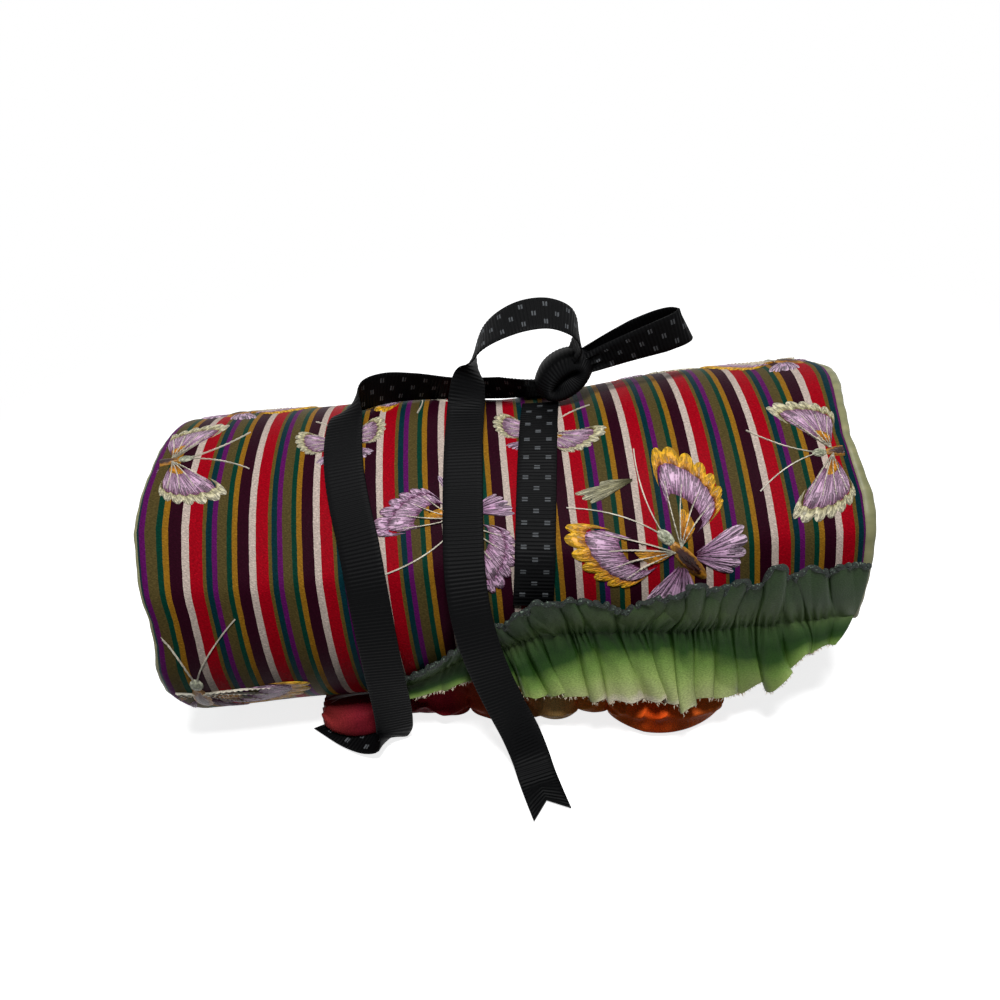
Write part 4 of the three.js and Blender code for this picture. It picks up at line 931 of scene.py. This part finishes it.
# The bow's right loop: a stretch of the grosgrain on its edge, dots outward.
# It goes out from the knot and back, folded at its far end and gathered where the knot holds it.
right_loop, _, long = add_ribbon("ribbon_right_loop", [
    (from_knot(6, -2.2, 4.2), STANDING), (from_knot(12, -2.4, 6.2), STANDING),
    (from_knot(22, -3, 10), STANDING), (from_knot(36, -3.2, 14.5), STANDING),
    (from_knot(41, -1.8, 15.6), STANDING), (from_knot(42.8, 0.3, 15.8), STANDING),
    (from_knot(41, 2.4, 15.4), STANDING), (from_knot(36, 3.6, 14.2), STANDING),
    (from_knot(22, 2.8, 9.8), STANDING), (from_knot(9.7, 1.4, 5.3), STANDING),
], (dotted_side, plain_side), ["ribbon_loop_right"],
    pinch=([0, 10, 30, 58, 78, 88], [0.6, 0.74, 1, 1, 0.74, 0.6]))

# Knot: the grosgrain wound over itself, plain side out, into a fat ring with lengthwise folds.
# Its hole is almost closed, and it leans with the bow.
KNOT_RING, KNOT_BODY, KNOT_RIBS, KNOT_LEAN = np.array([7.2, 3.4]), np.array([4.0, 6.6]), 44, np.radians(33)
KNOT_STEPS, KNOT_CORNERS = 220, 48
KNOT_MIDDLE = KNOT + [1.6, 0, 1.4]
along, turn = np.meshgrid(np.linspace(0, 2 * np.pi, KNOT_STEPS, endpoint=False),
                          np.linspace(0, 2 * np.pi, KNOT_CORNERS, endpoint=False), indexing="ij")
folded = 1 + 0.06 * np.cos(4 * turn + 1.5 * np.sin(along)) + 0.016 * np.cos(along * KNOT_RIBS)
radial = KNOT_BODY[0] * np.cos(turn) * folded
sideways = KNOT_BODY[1] * np.sin(turn) * folded * (1 - 0.15 * np.cos(along))
long, high = (KNOT_RING[0] + radial) * np.cos(along), (KNOT_RING[1] + radial) * np.sin(along)
ring = np.stack([long * np.cos(KNOT_LEAN) - high * np.sin(KNOT_LEAN), sideways + 0.8 * np.sin(along),
                 long * np.sin(KNOT_LEAN) + high * np.cos(KNOT_LEAN)], -1)
quads = grid_faces(KNOT_STEPS + 1, KNOT_CORNERS, True) % (KNOT_STEPS * KNOT_CORNERS)
uv = np.stack([along * 9, turn * 3], -1)
knot = add_piece("ribbon_knot_ring", KNOT_MIDDLE + ring, outward(ring, quads), uv, [plain_side])
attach(knot, "bottom")
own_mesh(knot)
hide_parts("ribbon_knot")

# Zip pocket on the bottom panel: a satin panel sewn to the lining and edged by a coil zip.
# Its tapes are woven, its coil is a nylon wire, and its stops, slider and pull are brass.
# The tapes show a herringbone, the coil fine turns, and the brass a worn shine.
ZIP_LOOKS = {
    "zip_tape": ({"Roughness": 0.85}, "TexWave", {"Scale": 500}, {"bands_direction": "DIAGONAL"},
                 [(0, "#7C8B5F"), (1, "#93A375")]),
    "zip_nylon": ({"Roughness": 0.45}, "TexWave", {"Scale": 260}, {}, [(0, "#8E9A70"), (1, "#B4BF95")]),
    "brass": ({"Roughness": 0.32, "Metallic": 1.0}, "TexNoise", {"Scale": 300, "Detail": 3}, {},
              [(0.3, "#9A7838"), (0.7, "#C39E58")]),
}
ZIP_ROUND = 0.00015
zip_materials = {}
for name, (surface, kind, inputs, settings, stops) in ZIP_LOOKS.items():
    zip_materials[name], tree, shader = new_material(name, **surface)
    spot = node(tree, "TexCoord").outputs["Object"]
    pattern = node(tree, kind, {"Vector": spot, **inputs}, **settings)
    dress(tree, shader, node(tree, "ValToRGB", {0: pattern}, stops))
for name, finish in (("zip_tape_front", "zip_tape"), ("zip_tape_back", "zip_tape"),
                     ("zip_stop_left", "brass"), ("zip_stop_right", "brass"),
                     ("zip_slider", "brass"), ("zip_pull", "brass")):
    bar = bpy.data.objects[name]
    bar.data.materials.clear()
    bar.data.materials.append(zip_materials[finish])
    softened = bar.modifiers.new("softened", "BEVEL")
    softened.width, softened.segments = ZIP_ROUND, 2


def solid_box(name):
    """Low and high corner of a solid in mm, from the roll's axis."""
    return (np.array(corner) * 1000 - [0, AXIS_Y * 1000, 0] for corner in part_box(name))


COIL_PITCH, COIL_WIRE, COIL_INSET, COIL_STEPS, COIL_CORNERS = 1.3, 0.32, 0.5, 3000, 5
low, high = solid_box("zip_coil")
turns = np.linspace(low[0] + COIL_INSET, high[0] - COIL_INSET, COIL_STEPS)
spin = 2 * np.pi * turns / COIL_PITCH
centre, half = (low + high) / 2, (high - low) / 2 - COIL_WIRE
helix = np.stack([turns, centre[1] + half[1] * np.cos(spin), centre[2] + half[2] * np.sin(spin)], -1)
wire = tube(helix, np.full(COIL_STEPS, COIL_WIRE), COIL_CORNERS)
quads = outward(wire, grid_faces(COIL_STEPS, COIL_CORNERS, True))
uv = np.stack(np.broadcast_arrays(turns[:, None], np.linspace(0, 2, COIL_CORNERS)), -1)
coil = add_piece("zip_coil_wire", wire, quads, uv, [zip_materials["zip_nylon"]])
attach(coil, "bottom")
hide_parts("zip_coil")


POCKET_COLUMNS, POCKET_ROWS, POCKET_CLOTH, POCKET_BULGE = 110, 30, 0.5, 0.25
HEM_THICK, STITCH_DEEP, STITCH_INSET, STITCH_WIDE = 0.35, 0.3, 3.2, 0.5


def add_pocket(name, half, low_angle, high_angle, lift, body, node_name):
    """Pocket panel: cloth over the lining with a rounded hem all round and a soft bulge in its middle."""
    x, angle = np.meshgrid(np.linspace(-half, half, POCKET_COLUMNS),
                           np.linspace(low_angle, high_angle, POCKET_ROWS), indexing="ij")
    to_side = np.minimum(half - np.abs(x), np.minimum(cloth_at(angle) - cloth_at(low_angle),
                                                      cloth_at(high_angle) - cloth_at(angle)))
    hem = HEM_THICK * smoothstep(to_side, 0, 1) - STITCH_DEEP * bell(to_side, STITCH_INSET, STITCH_WIDE)
    bulge = POCKET_BULGE * smoothstep(to_side, 4, 12) * np.sin(x / 9) * np.sin(cloth_at(angle) / 5)
    outer = winding(x, angle, MAT + lift + POCKET_CLOTH + hem + bulge)
    inner = winding(x, angle, np.full(x.shape, MAT + lift))
    panel = add_sheet(name, outer, inner, np.stack([x, cloth_at(angle)], -1), [satin])
    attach(panel, body)
    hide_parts(node_name)


add_pocket("zip_pocket_cloth", 103, 246, 273, 0.8, "bottom", "zip_pocket_panel")

# Slip pocket on the lower back panel: a satin panel sewn to the lining on three sides.
# Its mouth is bound in a strip of the brocade.
SLIP_HALF, BOUND_ANGLE, BOUND_WIDE, BOUND_LIFT, BOUND_HIGH = 95, 198.5, 2.4, 1.2, 0.85
BOUND_STEPS, BOUND_CORNERS = 120, 14
add_pocket("slip_pocket_cloth", SLIP_HALF, 201.4, 236, 0.3, "lower_back", "slip_pocket_panel")
x, turn = np.meshgrid(np.linspace(-SLIP_HALF, SLIP_HALF, BOUND_STEPS),
                      np.linspace(0, 2 * np.pi, BOUND_CORNERS, endpoint=False), indexing="ij")
angle = BOUND_ANGLE + BOUND_WIDE * np.cos(turn)
bound = winding(x, angle, MAT + BOUND_LIFT + BOUND_HIGH * np.sin(turn))
quads = outward(bound, grid_faces(BOUND_STEPS, BOUND_CORNERS, True))
binding = add_piece("slip_pocket_bound_edge", bound, quads, np.stack([x, cloth_at(angle)], -1), [brocade])
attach(binding, "lower_back")
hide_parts("slip_pocket_binding")

# Bolster: a stuffed sleeve of the lining's satin, for rings and bracelets, sewn along the mat's inner end.
# It is drawn in at the ribbon's waist and gathered at both ends under crowned caps.
BOLSTER_END, BOLSTER_INSET, BOLSTER_GATHER, BOLSTER_PLEATS = 81.6, 0.5, 1.2, 24
BOLSTER_STEPS, BOLSTER_CORNERS, BOLSTER_GIRTH = 120, 96, 190
CAP_SHRINK = np.array([1, 0.93, 0.8, 0.6, 0.35, 0.001])[:, None, None]
CAP_CROWN = np.array([0.2, 1.2, 1.9, 2.2, 2.3, 1.7])[:, None]
low, high = solid_box("bolster_skin")
middle = np.array([0, 0, (low[2] + high[2]) / 2])
along, turn = np.meshgrid(np.linspace(-1, 1, BOLSTER_STEPS),
                          np.linspace(0, 2 * np.pi, BOLSTER_CORNERS, endpoint=False), indexing="ij")
x = along * BOLSTER_END
gathered = smoothstep(np.abs(along), 0.8, 1)
pleats = 0.5 * gathered * np.cos(BOLSTER_PLEATS * turn)
pleats = pleats + 0.25 * np.sin(x / 11 + 2 * np.cos(turn)) * (1 - gathered)
inset = WAIST_DEPTH * bell(x, WAIST_X, WAIST_SPREAD) + BOLSTER_INSET + BOLSTER_GATHER * gathered - pleats
half, tall = (high[1] - low[1]) / 2 - inset, (high[2] - low[2]) / 2 - inset
sleeve = np.stack([x, half * np.cos(turn), middle[2] + tall * np.sin(turn)], -1)
caps = []
for end, way in ((0, -1), (-1, 1)):
    rings = middle + (sleeve[end] * [0, 1, 1] - middle) * CAP_SHRINK
    rings[..., 0] = way * (BOLSTER_END + CAP_CROWN)
    caps.append(rings)
rows = np.concatenate([caps[0][::-1], sleeve, caps[1]])
girth = np.broadcast_to(np.linspace(0, BOLSTER_GIRTH, BOLSTER_CORNERS), rows.shape[:2])
quads = outward(rows, grid_faces(*rows.shape[:2], True))
bolster = add_piece("bolster", rows, quads, np.stack([rows[..., 0], girth], -1), [satin])
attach(bolster, "inner_top")
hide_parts("bolster_skin", "bolster_stuffing", "bolster_cap_left", "bolster_cap_right")

# Table and light: a sheet of white paper, one overhead softbox a little ahead of the roll, and a white room.
# Seen directly, paper and room are white; to the cloth they only give a weak bounce.
PAPER_HALF, PAPER_Z, PAPER_SHADED, PAPER_WHITE = 4, -0.0002, 0.16, 0.34
LAMP_PLACE, LAMP_TARGET, LAMP_SIZE, LAMP_WATTS = np.array([0.05, -0.18, 0.85]), [0, 0, 0.05], 0.2, 5.6


def seen_directly(tree):
    """1 on rays from the camera or through a gloss or a clear surface, 0 on rays that carry light."""
    rays = node(tree, "LightPath").outputs
    direct = node(tree, "Math", {0: rays["Is Camera Ray"], 1: rays["Is Glossy Ray"]}, operation="MAXIMUM")
    return node(tree, "Math", {0: direct, 1: rays["Is Transmission Ray"]}, operation="MAXIMUM")


# Paper, uncoated: matt white. It takes the roll's soft shadow near by and is plain white further off.
paper, tree, shader = new_material("white_paper", Roughness=0.9)
matt = node(tree, "BsdfDiffuse", {"Color": (0.9, 0.9, 0.9, 1)})
glow = node(tree, "Emission", {"Color": (1, 1, 1, 1), "Strength": 0.8})
near = node(tree, "AddShader", {0: matt, 1: glow})
spot = node(tree, "TexCoord").outputs["Object"]
distance = node(tree, "VectorMath", {0: spot}, operation="LENGTH").outputs["Value"]
far = node(tree, "MapRange", {0: distance, 1: PAPER_SHADED, 2: PAPER_WHITE}, interpolation_type="SMOOTHSTEP")
full_white = node(tree, "Emission", {"Color": (1, 1, 1, 1), "Strength": 1.0})
white = node(tree, "MixShader", {0: far, 1: near, 2: full_white})
bounce = node(tree, "BsdfDiffuse", {"Color": (0.05, 0.05, 0.05, 1)})
both = node(tree, "MixShader", {0: seen_directly(tree), 1: bounce, 2: white})
plug(tree, both, tree.nodes["Material Output"].inputs["Surface"])
table_mesh = bpy.data.meshes.new("table")
corners = [(x * PAPER_HALF, y * PAPER_HALF, PAPER_Z) for x, y in ((-1, -1), (1, -1), (1, 1), (-1, 1))]
table_mesh.from_pydata(corners, [], [(0, 1, 2, 3)])
table_mesh.materials.append(paper)
table = bpy.data.objects.new("table", table_mesh)
bpy.context.collection.objects.link(table)

lamp = bpy.data.lights.new("overhead_softbox", "AREA")
lamp.size, lamp.energy = LAMP_SIZE, LAMP_WATTS
softbox = bpy.data.objects.new("overhead_softbox", lamp)
upward = LAMP_PLACE - LAMP_TARGET
upward /= np.linalg.norm(upward)
sideways = np.cross([0, 1, 0.01], upward)
sideways /= np.linalg.norm(sideways)
softbox.matrix_world = placed(sideways, np.cross(upward, sideways), upward, LAMP_PLACE)
bpy.context.collection.objects.link(softbox)
world = bpy.data.worlds.new("room")
bpy.context.scene.world = world
world.use_nodes = True
tree = world.node_tree
room_light = node(tree, "Background", {"Color": (0.9, 0.95, 1, 1), "Strength": 0.08})
white_room = node(tree, "Background", {"Color": (1, 1, 1, 1), "Strength": 1.0})
both = node(tree, "MixShader", {0: seen_directly(tree), 1: room_light, 2: white_room})
plug(tree, both, tree.nodes["World Output"].inputs["Surface"])
